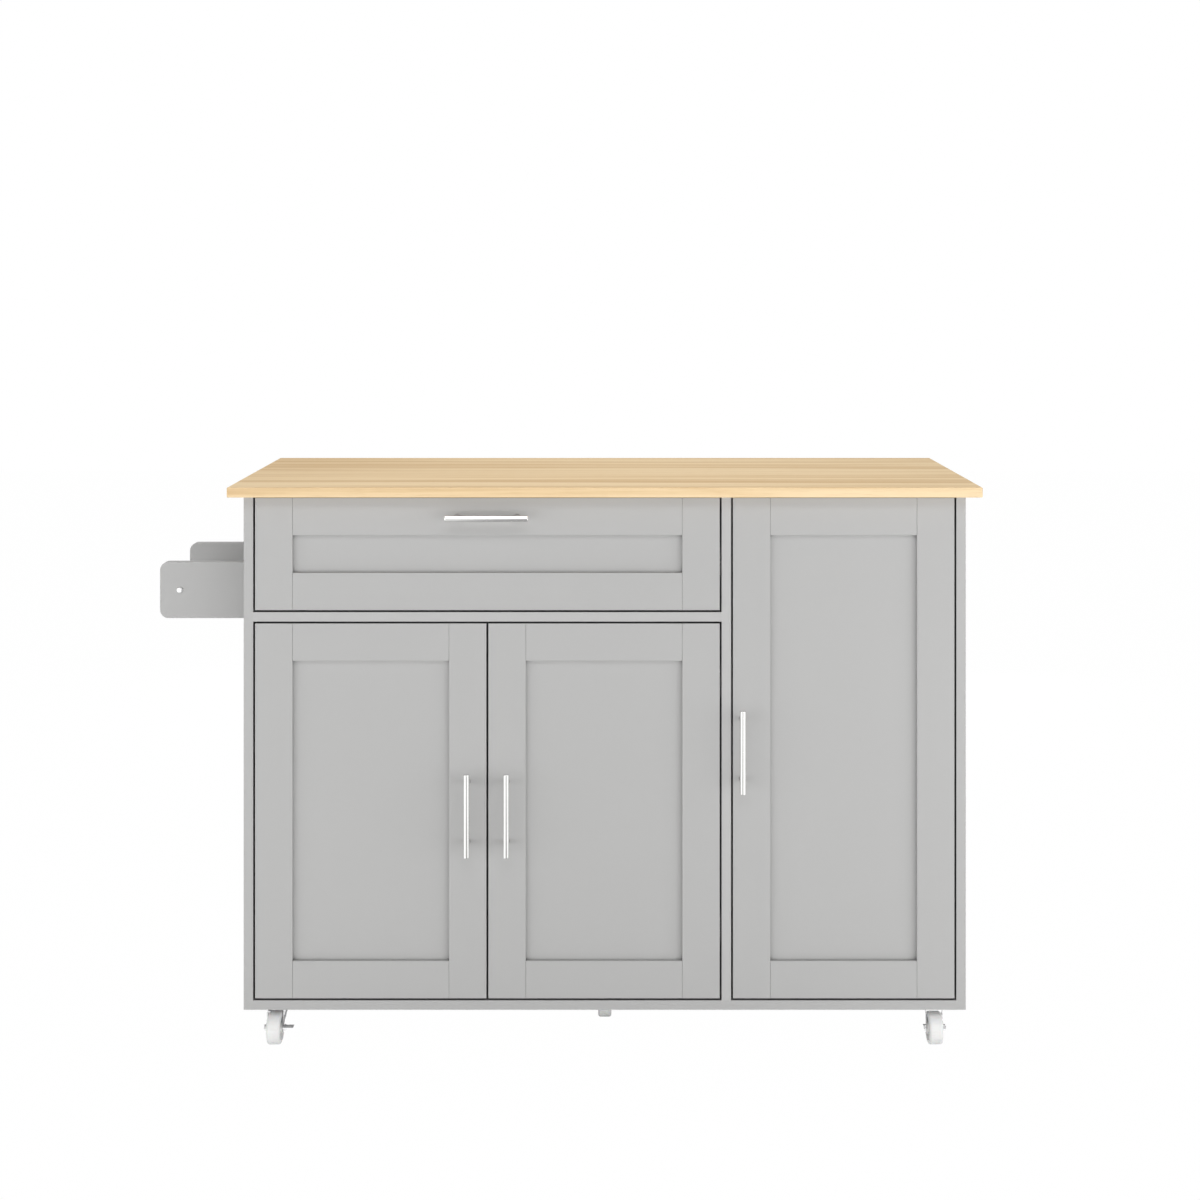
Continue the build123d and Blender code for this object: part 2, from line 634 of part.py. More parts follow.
def hinge_arm(z):
    """The cabinet half: an eye on the pin, a neck bent round the door's edge, and a body on its plate."""
    start, end = HINGE_ARM_ANGLES
    inner = HINGE_ARM_RADIUS - HINGE_ARM_THICK / 2
    outer = inner + HINGE_ARM_THICK

    def at(radius, angle):
        return HINGE_EDGE + radius * cos(angle), HINGE_SET_BACK + radius * sin(angle)

    with BuildSketch() as neck:
        with BuildLine():
            middle = (start + end) / 2
            ThreePointArc(at(inner, start), at(inner, middle), at(inner, end))
            Line(at(inner, end), at(outer, end))
            ThreePointArc(at(outer, end), at(outer, middle), at(outer, start))
            Line(at(outer, start), at(inner, start))
        make_face()
    ray = Plane(origin=(HINGE_EDGE, HINGE_SET_BACK, 0), x_dir=(cos(start), sin(start), 0), z_dir=(0, 0, 1))
    bar = ray * (Pos(outer / 2, 0) * Rectangle(outer, HINGE_ARM_THICK))
    eye = Pos(HINGE_EDGE, HINGE_SET_BACK) * Circle(HINGE_PIN_RADIUS + HINGE_EYE_WALL)
    near = -GAP + HINGE_PLATE_THICK
    front, back = HINGE_BODY_Y
    body_size = (HINGE_BODY_FAR - near, back - front)
    body = Pos((near + HINGE_BODY_FAR) / 2, (front + back) / 2) * Rectangle(*body_size)
    foot = at(HINGE_ARM_RADIUS, end)
    bridge = Pos(foot[0], foot[1] + HINGE_BRIDGE_BACK) * Rectangle(*HINGE_BRIDGE_SIZE)
    profile = neck.sketch + bar + eye + body + bridge
    low = z - HINGE_ARM_WIDTH / 2
    high = z + HINGE_ARM_WIDTH / 2
    arm = slab_xy(profile, low, high)
    pin = rod(HINGE_PIN_RADIUS + RUNNING, (HINGE_EDGE, HINGE_SET_BACK, low), (HINGE_EDGE, HINGE_SET_BACK, high))
    trough = block(
        (near + HINGE_TROUGH_FLOOR, HINGE_BODY_FAR + HINGE_TROUGH_WALL),
        HINGE_TROUGH_Y,
        (low + HINGE_TROUGH_WALL, high - HINGE_TROUGH_WALL),
    )
    return arm - pin - trough


def hinge_plate(z):
    """The cross-shaped mounting plate on the cabinet's side, and its two screws."""
    face = -GAP + HINGE_PLATE_THICK
    across, upright = [
        block((-GAP, face), y, (z + low, z + high))
        for y, (low, high) in (HINGE_PLATE_ACROSS, HINGE_PLATE_UPRIGHT)
    ]
    y = HINGE_PLATE_SCREW_Y
    screws = [
        pan_screw((face, y, z + step), (-GAP - HINGE_PLATE_SCREW_BITE, y, z + step), HINGE_PLATE_SCREW)
        for step in (-HINGE_PLATE_SCREW_STEP, HINGE_PLATE_SCREW_STEP)
    ]
    return cut(across + upright, screws), screws


def hinged_door(name, width, height, handle_from_edge, hinge_x, hung_left):
    """A framed door with its handle and hinges, placed in its opening. A right-hung door is the mirror image."""
    heights = (HINGE_END_DISTANCE, height - HINGE_END_DISTANCE)
    cups = []
    cup_tools = []
    for z in heights:
        solids, tools = hinge_cup(z)
        cups += solids
        cup_tools += tools
    handle, holes = bar_handle((width - handle_from_edge, height / 2), upright=True)
    front = framed_front(width, height, cup_tools, holes)
    plates = []
    plate_screws = []
    for z in heights:
        plate, screws = hinge_plate(z)
        plates.append(plate)
        plate_screws += screws
    local = {
        f"{name}_stiles": front["stiles"],
        f"{name}_rails": front["rails"],
        f"{name}_panel": front["panel"],
        f"{name}_handle": group(handle),
        f"{name}_hinge_cups": group(cups),
        "arms": group([hinge_arm(z) for z in heights]),
        "plates": group([*plates, *plate_screws]),
        "plate_screws": group(plate_screws),
    }
    place = Pos(hinge_x, FRONT, DOOR_LOW)
    if hung_left:
        return {node: place * shape for node, shape in local.items()}
    return {node: place * mirror(shape, about=Plane.YZ) for node, shape in local.items()}


def doors():
    """The three doors' nodes, and the plate screws that run into each upright board."""
    pair_width = (DIVIDER_LEFT - LEFT_INNER - 3 * GAP) / 2
    tall_width = TALL_BAY_WIDTH - 2 * GAP
    middle = FRAME_WIDTH / 2
    made = [
        hinged_door("door_left", pair_width, DOOR_HEIGHT, middle, LEFT_INNER + GAP, True),
        hinged_door("door_centre", pair_width, DOOR_HEIGHT, middle, DIVIDER_LEFT - GAP, False),
        hinged_door("door_tall", tall_width, TALL_DOOR_HEIGHT, TALL_HANDLE_INSET, RIGHT_INNER - GAP, False),
    ]
    nodes = {}
    for door in made:
        nodes.update({k: v for k, v in door.items() if k.startswith("door_")})
    nodes["hinge_arms"] = group([door["arms"] for door in made])
    nodes["hinge_plates"] = group([door["plates"] for door in made])
    return nodes, [door["plate_screws"] for door in made]


# ---------------------------------------------------------------- drawer

def runner(face, way, y_range, reach, half_height):
    """One member of a slide: an upright web on the plane x = face, with two flanges along way."""
    z = DRAWER_BOX_LOW + DRAWER_BOX_HEIGHT / 2
    thick = RUNNER_THICK
    flange = sorted((face, face + way * reach))
    web = block(sorted((face, face + way * thick)), y_range, (z - half_height, z + half_height))
    upper = block(flange, y_range, (z + half_height - thick, z + half_height))
    lower = block(flange, y_range, (z - half_height, z - half_height + thick))
    return web + upper + lower


def drawer():
    """The drawer's framed front, its box and its slides."""
    width = DIVIDER_LEFT - LEFT_INNER - 2 * GAP
    left = LEFT_INNER + DRAWER_SIDE_GAP
    right = DIVIDER_LEFT - DRAWER_SIDE_GAP
    low = DRAWER_BOX_LOW
    high = low + DRAWER_BOX_HEIGHT
    near = FRONT + FRAME_THICK
    far = near + DRAWER_BOX_DEPTH
    inner = (left + DRAWER_BOARD, right - DRAWER_BOARD)

    place = Pos(LEFT_INNER + GAP, FRONT, DRAWER_FRONT_LOW)
    handle_z = DRAWER_FRONT_HEIGHT - FRAME_WIDTH / 2
    handle, holes = bar_handle((width / 2, handle_z), upright=False)
    fixings = [
        pan_screw((x, near + DRAWER_BOARD, z), (x, near - DRAWER_SCREW_BITE, z), DRAWER_SCREW)
        for x in (inner[0] + DRAWER_SCREW_INSET, inner[1] - DRAWER_SCREW_INSET)
        for z in (low + DRAWER_SCREW_INSET, high - DRAWER_SCREW_INSET)
    ]
    local_fixings = [place.inverse() * screw for screw in fixings]
    front = framed_front(width, DRAWER_FRONT_HEIGHT, (), [*holes, *local_fixings])
    room_end = FRAME_THICK + HANDLE_HEAD_ROOM_DEPTH
    head_room = [
        place * rod(HANDLE_HEAD_ROOM_RADIUS, (x, FRAME_THICK, handle_z), (x, room_end, handle_z))
        for x in (width / 2 - HANDLE_PITCH / 2, width / 2 + HANDLE_PITCH / 2)
    ]

    bottom_low = low + DRAWER_BOTTOM_RISE
    bottom = block(
        (inner[0] - DRAWER_GROOVE, inner[1] + DRAWER_GROOVE),
        (near + DRAWER_BOARD - DRAWER_GROOVE, far - DRAWER_BOARD + DRAWER_GROOVE),
        (bottom_low, bottom_low + DRAWER_BOTTOM_THICK),
    )
    sides = [block(span, (near, far), (low, high)) for span in ((left, inner[0]), (inner[1], right))]
    inner_front = block(inner, (near, near + DRAWER_BOARD), (low, high))
    back = block(inner, (far - DRAWER_BOARD, far), (low, high))

    slide_y = (FRONT + RUNNER_FRONT_INSET, FRONT + RUNNER_FRONT_INSET + DRAWER_BOX_DEPTH)
    faces = ((LEFT_INNER, 1), (DIVIDER_LEFT, -1))
    outer = [runner(face, way, slide_y, **OUTER_RUNNER) for face, way in faces]
    middle = [
        runner(face + way * MIDDLE_RUNNER_SET_OUT, way, slide_y, **MIDDLE_RUNNER)
        for face, way in faces
    ]
    inner_members = [
        runner(face + way * DRAWER_SIDE_GAP, -way, slide_y, **DRAWER_RUNNER)
        for face, way in faces
    ]
    return {
        "drawer_front_stiles": place * front["stiles"],
        "drawer_front_rails": place * front["rails"],
        "drawer_front_panel": place * front["panel"],
        "drawer_handle": place * group(handle),
        "drawer_sides": group([s - bottom for s in sides]),
        "drawer_inner_front": cut(inner_front, [bottom, *fixings, *head_room]),
        "drawer_back": back - bottom,
        "drawer_bottom": bottom,
        "drawer_front_screws": group(fixings),
        "runner_outer_members": group(outer),
        "runner_middle_members": group(middle),
        "runner_drawer_members": group(inner_members),
    }


# ---------------------------------------------------------------- castors

def castor_plate(x, y):
    """The fixed plate with its raceway, and the kingpin that the fork turns on."""
    under = CASTOR_HEIGHT - CASTOR_PLATE_THICK
    outline = RectangleRounded(CASTOR_PLATE_SIZE, CASTOR_PLATE_SIZE, CASTOR_PLATE_CORNER)
    plate = slab_xy(Pos(x, y) * outline, under, CASTOR_HEIGHT)
    plate = plate + rod(RACEWAY_RADIUS, (x, y, RACEWAY_LOW), (x, y, under))
    shaft = rod(KINGPIN_RADIUS, (x, y, KINGPIN_LOW), (x, y, under + CASTOR_PLATE_THICK / 2))
    head_low, head_high = KINGPIN_HEAD_Z
    kingpin = shaft + rod(KINGPIN_HEAD_RADIUS, (x, y, head_low), (x, y, head_high))
    return [plate - kingpin, kingpin]


def castor_fork(x, y, brake_side):
    """Crown, ring and two legs, pressed from one sheet, then the axle bolt and its nut."""
    axle = (-CASTOR_TRAIL, WHEEL_RADIUS)
    outline = make_hull(
        (
            (Pos(0, CROWN_LOW) * Rectangle(FORK_DEPTH, FORK_SHOULDER)).edges()
            + (Pos(*axle) * Circle(AXLE_BOSS_RADIUS)).edges()
            + (Pos(*BRAKE_PIVOT) * Circle(BRAKE_BOSS_RADIUS)).edges()
        )
    )
    legs = [
        slab_yz(outline, FORK_INNER, FORK_INNER + FORK_STEEL),
        slab_yz(outline, -FORK_INNER - FORK_STEEL, -FORK_INNER),
    ]
    half = FORK_INNER + FORK_STEEL
    crown_high = CROWN_LOW + CROWN_THICK
    crown = slab_xy(Rectangle(2 * half, FORK_DEPTH), CROWN_LOW, crown_high)
    ring = slab_xy(Circle(CROWN_RING_RADIUS), crown_high, crown_high + CROWN_RING_THICK)
    fork = legs[0] + legs[1] + crown + ring
    fork = fork - rod(KINGPIN_RADIUS + RUNNING, (0, 0, CROWN_LOW - CROWN_THICK), (0, 0, CASTOR_HEIGHT))
    fork = fork - rod(AXLE_RADIUS, (-2 * half, *axle), (2 * half, *axle))
    if brake_side:
        fork = fork - rod(BRAKE_PIN_RADIUS + RUNNING, (-2 * half, *BRAKE_PIVOT), (2 * half, *BRAKE_PIVOT))
    hexagon = Pos(*axle) * RegularPolygon(AXLE_NUT_RADIUS, 6)
    head = slab_yz(hexagon, -half - AXLE_HEAD_THICK, -half)
    bolt = head + rod(AXLE_RADIUS, (-half, *axle), (half + AXLE_END, *axle))
    nut = slab_yz(hexagon, half, half + AXLE_NUT_THICK) - rod(AXLE_RADIUS, (0, *axle), (2 * half, *axle))
    place = Pos(x, y, 0)
    return [place * solid for solid in (fork, bolt, nut)]


def castor_wheel(x, y):
    """A one-piece nylon wheel with dished sides and a long hub."""
    half = WHEEL_WIDTH / 2
    hub = FORK_INNER - HUB_GAP
    web_inner, web_outer = WEB_RADII
    tread = [(half - WHEEL_EDGE_ROUND, WHEEL_RADIUS), (half, WHEEL_RADIUS - WHEEL_EDGE_ROUND)]
    ease = WHEEL_EDGE_ROUND * (1 - cos(radians(45)))
    bend = (half - ease, WHEEL_RADIUS - ease)
    side = [
        tread[1],
        (half, RIM_INNER_RADIUS),
        (WEB_HALF_THICK, web_outer),
        (WEB_HALF_THICK, web_inner),
        (hub, HUB_RADIUS),
        (hub, AXLE_RADIUS + RUNNING),
    ]
    with BuildSketch() as section:
        with BuildLine():
            ThreePointArc(tread[0], bend, tread[1])
            Polyline(*side)
            Line(side[-1], (-side[-1][0], side[-1][1]))
            Polyline(*[(-px, py) for px, py in reversed(side)])
            ThreePointArc((-tread[1][0], tread[1][1]), (-bend[0], bend[1]), (-tread[0][0], tread[0][1]))
            Line((-tread[0][0], tread[0][1]), tread[0])
        make_face()
    wheel = revolve(Plane.XY * section.sketch, Axis.X)
    return Pos(x, y - CASTOR_TRAIL, WHEEL_RADIUS) * wheel


def shoe_tip():
    """Where the shoe's rounded tip stands, so that it just clears the tread with the brake down."""
    to_axle = (-CASTOR_TRAIL - BRAKE_PIVOT[0], WHEEL_RADIUS - BRAKE_PIVOT[1])
    distance = hypot(*to_axle)
    reach = BRAKE_SHOE_REACH
    clear = WHEEL_RADIUS + BRAKE_SHOE_CLEAR + BRAKE_SHOE_TIP
    spread = acos((distance**2 + reach**2 - clear**2) / (2 * distance * reach))
    angle = atan2(to_axle[1], to_axle[0]) - spread
    return BRAKE_PIVOT[0] + reach * cos(angle), BRAKE_PIVOT[1] + reach * sin(angle)


def castor_brake(x, y, side):
    """A lever with a side tab, its cross pin and the shoe that bears on the tread."""
    pivot = BRAKE_PIVOT
    near = FORK_INNER + FORK_STEEL + BRAKE_LEVER_GAP
    boss, tip = BRAKE_LEVER_RADII
    tab_y, tab_z = BRAKE_TAB
    lever = make_hull((Pos(*pivot) * Circle(boss)).edges() + (Pos(*BRAKE_TAB) * Circle(tip)).edges())
    lever = slab_yz(lever, near, near + BRAKE_STEEL)
    tab = block(
        (near, BRAKE_TAB_REACH),
        (tab_y - tip, tab_y - tip + BRAKE_TAB_LENGTH),
        (tab_z - BRAKE_STEEL / 2, tab_z + BRAKE_STEEL / 2),
    )
    shoe_ends = (Pos(*pivot) * Circle(BRAKE_SHOE_BOSS_RADIUS), Pos(*shoe_tip()) * Circle(BRAKE_SHOE_TIP))
    shoe = make_hull(shoe_ends[0].edges() + shoe_ends[1].edges())
    shoe = slab_yz(shoe, -BRAKE_SHOE_HALF_WIDTH, BRAKE_SHOE_HALF_WIDTH)
    pin = rod(BRAKE_PIN_RADIUS, (-near - BRAKE_RIVET_THICK, *pivot), (near, *pivot))
    rivet = rod(BRAKE_RIVET_RADIUS, (-near - BRAKE_RIVET_THICK, *pivot), (-near, *pivot))
    brake = lever + tab + shoe + pin + rivet
    if side < 0:
        brake = mirror(brake, about=Plane.YZ)
    return Pos(x, y, 0) * brake


def castors():
    screws = castor_screws()
    nodes = {"castor_screws": group(screws)}
    plates = []
    for name, x, y, brake_side in castor_places():
        plate, kingpin = castor_plate(x, y)
        plates += [cut(plate, screws), kingpin]
        nodes[f"castor_{name}_fork"] = group(castor_fork(x, y, brake_side))
        nodes[f"castor_{name}_wheel"] = castor_wheel(x, y)
        if brake_side:
            nodes[f"castor_{name}_brake"] = castor_brake(x, y, brake_side)
    nodes["castor_plates"] = group(plates)
    return nodes


def main():
    os.makedirs("parts", exist_ok=True)
    nodes = carcass()
    nodes.update(shelves())
    nodes.update(towel_rack())
    door_nodes, plate_screws = doors()
    nodes.update(door_nodes)
    for board, screws in zip(("side_panel_left", "divider_panel", "side_panel_right"), plate_screws):
        nodes[board] = nodes[board] - screws
    nodes.update(drawer())
    nodes.update(castors())
    for node, shape in nodes.items():
        export_step(shape, f"parts/{node}.step")
    print(len(nodes), "nodes written")


main()
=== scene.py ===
import json
from math import cos, radians, sin

import bpy
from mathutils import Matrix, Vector


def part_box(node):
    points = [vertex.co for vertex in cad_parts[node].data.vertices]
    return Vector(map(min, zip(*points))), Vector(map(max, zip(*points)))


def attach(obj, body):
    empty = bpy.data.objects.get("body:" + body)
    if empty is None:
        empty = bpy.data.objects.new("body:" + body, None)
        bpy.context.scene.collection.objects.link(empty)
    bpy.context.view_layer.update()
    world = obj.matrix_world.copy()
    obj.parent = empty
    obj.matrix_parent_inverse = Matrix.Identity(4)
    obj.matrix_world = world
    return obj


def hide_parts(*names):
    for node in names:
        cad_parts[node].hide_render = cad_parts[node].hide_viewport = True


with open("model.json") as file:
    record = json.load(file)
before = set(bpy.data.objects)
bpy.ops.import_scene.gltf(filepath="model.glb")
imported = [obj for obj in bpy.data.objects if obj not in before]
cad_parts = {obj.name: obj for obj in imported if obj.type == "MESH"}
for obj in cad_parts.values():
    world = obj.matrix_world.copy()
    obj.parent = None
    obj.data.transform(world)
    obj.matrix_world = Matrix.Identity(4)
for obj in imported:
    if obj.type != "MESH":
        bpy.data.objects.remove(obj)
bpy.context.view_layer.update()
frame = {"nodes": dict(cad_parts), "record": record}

mm = 0.001

# where things are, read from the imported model
floorLow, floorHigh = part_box("floor_panel")
frontY = floorLow.y
middleX = (floorLow.x + floorHigh.x) / 2
bodyOf = {node: body for body, nodes in frame["record"]["behaviour"]["bodies"].items() for node in nodes}
slotOf = {part["node"]: part["material_slot"] for part in frame["record"]["subparts"]}
castors = sorted(node.removesuffix("_fork") for node in frame["nodes"] if node.endswith("_fork"))


def camelName(node):  # left_door_panel becomes leftDoorPanel
    first, *rest = node.split("_")
    return first + "".join(word.title() for word in rest)


def clearSelection():
    if bpy.context.mode != "OBJECT":
        bpy.ops.object.mode_set(mode="OBJECT")
    bpy.ops.object.select_all(action="DESELECT")


def makeActive(piece):
    clearSelection()
    piece.select_set(True)
    bpy.context.view_layer.objects.active = piece


def backToObject():
    bpy.ops.object.mode_set(mode="OBJECT")


def applyPlace(piece):
    makeActive(piece)
    bpy.ops.object.transform_apply(location=True, rotation=True, scale=True)


easeLook = {  # the welding gap is in metres, the angles in degrees
    "weldGap": 0.002 * mm, "flatAngle": 0.6, "segments": 2, "bevelAngle": 50, "boardSmooth": 50, "turnedSmooth": 40,
}


def easeEdges(piece, width, segments=easeLook["segments"], angle=easeLook["bevelAngle"]):
    makeActive(piece)
    bevel = piece.modifiers.new("easedEdges", "BEVEL")
    bevel.width = width
    bevel.segments = segments
    bevel.limit_method = "ANGLE"
    bevel.angle_limit = radians(angle)
    bevel.use_clamp_overlap = True
    bpy.ops.object.modifier_apply(modifier=bevel.name)


def smoothBy(piece, angle):  # soft across the eased edges, while the flat faces stay flat
    makeActive(piece)
    bpy.ops.object.shade_smooth_by_angle(angle=radians(angle))
    even = piece.modifiers.new("evenNormals", "WEIGHTED_NORMAL")
    even.keep_sharp = True
    bpy.ops.object.modifier_apply(modifier=even.name)


def joinPieces(pieces):
    clearSelection()
    for piece in pieces:
        piece.select_set(True)
    bpy.context.view_layer.objects.active = pieces[0]
    if len(pieces) > 1:
        bpy.ops.object.join()
    return bpy.context.active_object


def settle(piece, name, node, finish, angle=easeLook["boardSmooth"]):  # the last step of every piece
    smoothBy(piece, angle)
    piece.name = name
    piece.data.name = name
    piece.data.materials.clear()
    piece.data.materials.append(finish)
    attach(piece, bodyOf[node])
    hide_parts(node)


def mergedCopy(node):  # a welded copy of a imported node's mesh, with its flat faces whole again
    source = frame["nodes"][node]
    piece = bpy.data.objects.new(node + "Copy", source.data.copy())
    bpy.context.scene.collection.objects.link(piece)
    makeActive(piece)
    bpy.ops.object.mode_set(mode="EDIT")
    bpy.ops.mesh.select_all(action="SELECT")
    bpy.ops.mesh.remove_doubles(threshold=easeLook["weldGap"])
    bpy.ops.mesh.dissolve_limited(angle_limit=radians(easeLook["flatAngle"]))
    backToObject()
    return piece


class Signal:  # one output socket, which can be added, multiplied and so on like a number
    def __init__(self, maker, socket):
        self.maker = maker
        self.socket = socket

    def maths(self, operation, first, second=0.0):
        return self.maker.node("ShaderNodeMath", {"operation": operation}, {0: first, 1: second})

    def __add__(self, other):
        return self.maths("ADD", self, other)

    def __radd__(self, other):
        return self.maths("ADD", other, self)

    def __sub__(self, other):
        return self.maths("SUBTRACT", self, other)

    def __rsub__(self, other):
        return self.maths("SUBTRACT", other, self)

    def __mul__(self, other):
        return self.maths("MULTIPLY", self, other)

    def __rmul__(self, other):
        return self.maths("MULTIPLY", other, self)

    def __pow__(self, other):
        return self.maths("POWER", self, other)

    def __abs__(self):
        return self.maths("ABSOLUTE", self)

    def sine(self):
        return self.maths("SINE", self)

    def wave(self):  # a sine that runs from 0 to 1
        return self.sine() * 0.5 + 0.5

    def clipped(self):
        return self.maker.node("ShaderNodeClamp", {}, {0: self})

    def outputs(self, count):  # this and the next outputs of the same node
        return [Signal(self.maker, socket) for socket in self.socket.node.outputs[:count]]


class NodeMaker:  # every node of a material or of the world comes from here
    def __init__(self, tree):
        self.tree = tree

    def node(self, kind, settings=None, inputs=None, output=0):
        made = self.tree.nodes.new(kind)
        for setting, value in (settings or {}).items():
            if setting == "stops":
                ramp = made.color_ramp
                while len(ramp.elements) < len(value):
                    ramp.elements.new(0.5)
                for element, (position, colour) in zip(ramp.elements, value):
                    element.position = position
                    element.color = colour
            else:
                setattr(made, setting, value)
        for socket, value in (inputs or {}).items():
            if isinstance(value, Signal):
                self.tree.links.new(value.socket, made.inputs[socket])
            else:
                made.inputs[socket].default_value = value
        return Signal(self, made.outputs[output])

    def ray(self, kind):  # 1 for rays of this kind
        return self.node("ShaderNodeLightPath", output=f"Is {kind} Ray")

    def mixShaders(self, factor, first, second):
        return self.node("ShaderNodeMixShader", {}, {0: factor, 1: first, 2: second})

    def finishWith(self, shader, output):
        self.tree.links.new(shader.socket, self.tree.nodes[output].inputs["Surface"])


class Finish(NodeMaker):  # one material and the nodes behind it
    def __init__(self, name, **fixed):
        self.material = bpy.data.materials.new(name)
        self.material.use_nodes = True
        super().__init__(self.material.node_tree)
        self.shader = self.tree.nodes["Principled BSDF"]
        for socket, value in fixed.items():
            self.shader.inputs[socket].default_value = value
        self.place = self.node("ShaderNodeTexCoord", output="Object")

    def scaled(self, scale, offset):
        return self.node("ShaderNodeMapping", {}, {"Vector": self.place, "Scale": scale, "Location": offset})

    def noise(self, scale, detail=2.0, rough=0.5, offset=(0, 0, 0), warp=0.0):  # scale in lumps a metre
        place = self.scaled(scale, offset)
        return self.node(
            "ShaderNodeTexNoise", {},
            {"Vector": place, "Scale": 1.0, "Detail": detail, "Roughness": rough, "Distortion": warp},
        )

    def blend(self, factor, first, second):  # between two colours
        return self.node("ShaderNodeMix", {"data_type": "RGBA"}, {0: factor, 6: first, 7: second}, 2)

    def ramp(self, factor, stops):
        return self.node("ShaderNodeValToRGB", {"stops": stops}, {0: factor})

    def smooth(self, value, low, high):  # 0 below low, 1 above high
        return self.node(
            "ShaderNodeMapRange", {"interpolation_type": "SMOOTHSTEP"},
            {"Value": value, "From Min": low, "From Max": high},
        )

    def axes(self, vector):
        return self.node("ShaderNodeSeparateXYZ", {}, {0: vector}).outputs(3)

    def edges(self, radius, gain=6):  # 1 on an edge, 0 on a flat face
        softened = self.node("ShaderNodeBevel", {"samples": 4}, {"Radius": radius})
        plain = self.node("ShaderNodeNewGeometry", output="Normal")
        match = self.node("ShaderNodeVectorMath", {"operation": "DOT_PRODUCT"}, {0: softened, 1: plain}, 1)
        return ((1 - match) * gain).clipped()

    def openness(self, distance):  # ambient occlusion: 1 on an open face, towards 0 down in a gap or a corner, where shade falls
        return self.node("ShaderNodeAmbientOcclusion", {"samples": 8}, {"Distance": distance}, "AO")

    def feed(self, socket, signal):
        self.tree.links.new(signal.socket, self.shader.inputs[socket])

    def relief(self, height, depth, strength):
        bump = self.node("ShaderNodeBump", {}, {"Strength": strength, "Distance": depth, "Height": height})
        self.feed("Normal", bump)


def rgb(red, green, blue):
    return (red, green, blue, 1.0)


def darker(colour, share):
    return rgb(*(part * share for part in colour[:3]))


worktopLook = {
    "pale": rgb(0.815, 0.640, 0.410), "middle": rgb(0.755, 0.570, 0.345), "dark": rgb(0.610, 0.420, 0.225),
    "endGrain": rgb(0.560, 0.385, 0.205), "roughness": 0.46, "specular": 0.03, "pores": 0.42,
}
innerWoodLook = {
    "pale": rgb(0.80, 0.70, 0.54), "middle": rgb(0.74, 0.62, 0.45), "dark": rgb(0.62, 0.49, 0.33),
    "endGrain": rgb(0.52, 0.40, 0.26), "roughness": 0.5, "specular": 0.25, "pores": 0.4,
}
grain = {  # scales in lumps a metre along the board, across it and through it
    "bands": (0.35, 9.0, 9.0), "bandRange": (0.34, 0.66), "bandShare": 0.26, "bandGloss": 0.06,
    "figure": (0.8, 34.0, 34.0), "figureRough": 0.55, "figureWarp": 0.25,
    "streakRange": (0.36, 0.64), "streakShare": 0.30,
    "wander": (1.1, 3.0, 3.0), "wanderTurn": 34, "ringTurn": (1.4, 260, 210), "ringSharpness": 2.2, "ringShare": 0.10,
    "fibre": (9.0, 620.0, 620.0), "fibreRough": 0.7, "fibreShare": 0.16, "fibreGloss": 0.10,
    "pores": (26.0, 900.0, 900.0), "poreRough": 0.4, "poreRange": (0.60, 0.74), "poreGloss": 0.12,
    "toneBase": 0.16, "toneStops": (0.34, 0.53, 0.78),
    "endRange": (0.5, 0.8), "endPores": (900.0, 900.0, 900.0), "endPoreShare": 0.3,
    "arcSquash": 30, "arcCentre": 0.35, "arcTurn": 1500, "arcWander": 5, "arcShare": 0.4,
    "reliefFibre": 0.5, "reliefPores": 0.7, "reliefRings": 0.3, "reliefDepth": 0.12 * mm, "reliefStrength": 0.35,
}


def makeWood(name, look):
    wood = Finish(name, **{"Specular IOR Level": look["specular"]})
    across, deep, high = wood.axes(wood.place)
    bands = wood.smooth(wood.noise(grain["bands"]), *grain["bandRange"])  # broad streaks along the board
    figure = wood.noise(grain["figure"], 3.0, grain["figureRough"], warp=grain["figureWarp"])
    streaks = wood.smooth(figure, *grain["streakRange"])
    turnAcross, turnDeep, turnHigh = grain["ringTurn"]
    wander = wood.noise(grain["wander"], 1.0) * grain["wanderTurn"]
    rings = (deep * turnDeep + high * turnHigh + wander + across * turnAcross).wave() ** grain["ringSharpness"]
    fibre = wood.noise(grain["fibre"], 2.0, grain["fibreRough"])
    pores = wood.smooth(wood.noise(grain["pores"], 1.0, grain["poreRough"]), *grain["poreRange"])
    tone = bands * grain["bandShare"] + streaks * grain["streakShare"] + rings * grain["ringShare"]
    tone = (tone + fibre * grain["fibreShare"] + grain["toneBase"]).clipped()
    colour = wood.ramp(tone, list(zip(grain["toneStops"], (look["pale"], look["middle"], look["dark"]))))
    colour = wood.blend(pores * look["pores"], colour, look["dark"])
    facing = wood.axes(wood.node("ShaderNodeNewGeometry", output="True Normal"))[0]
    onEnd = wood.smooth(facing * facing, *grain["endRange"])
    rise = high + grain["arcCentre"]
    bow = (deep * deep * grain["arcSquash"] + rise * rise) ** 0.5  # growth rings on the sawn ends
    arcs = (bow * grain["arcTurn"] + figure * grain["arcWander"]).wave()
    endTone = arcs * grain["arcShare"] + wood.noise(grain["endPores"], 1.0) * grain["endPoreShare"]
    wood.feed("Base Color", wood.blend(onEnd, colour, wood.blend(endTone, look["middle"], look["endGrain"])))
    dull = fibre * grain["fibreGloss"] + pores * grain["poreGloss"] - bands * grain["bandGloss"]
    wood.feed("Roughness", look["roughness"] + dull)
    height = fibre * grain["reliefFibre"] - pores * grain["reliefPores"] + rings * grain["reliefRings"]
    wood.relief(height, grain["reliefDepth"], grain["reliefStrength"])
    return wood.material


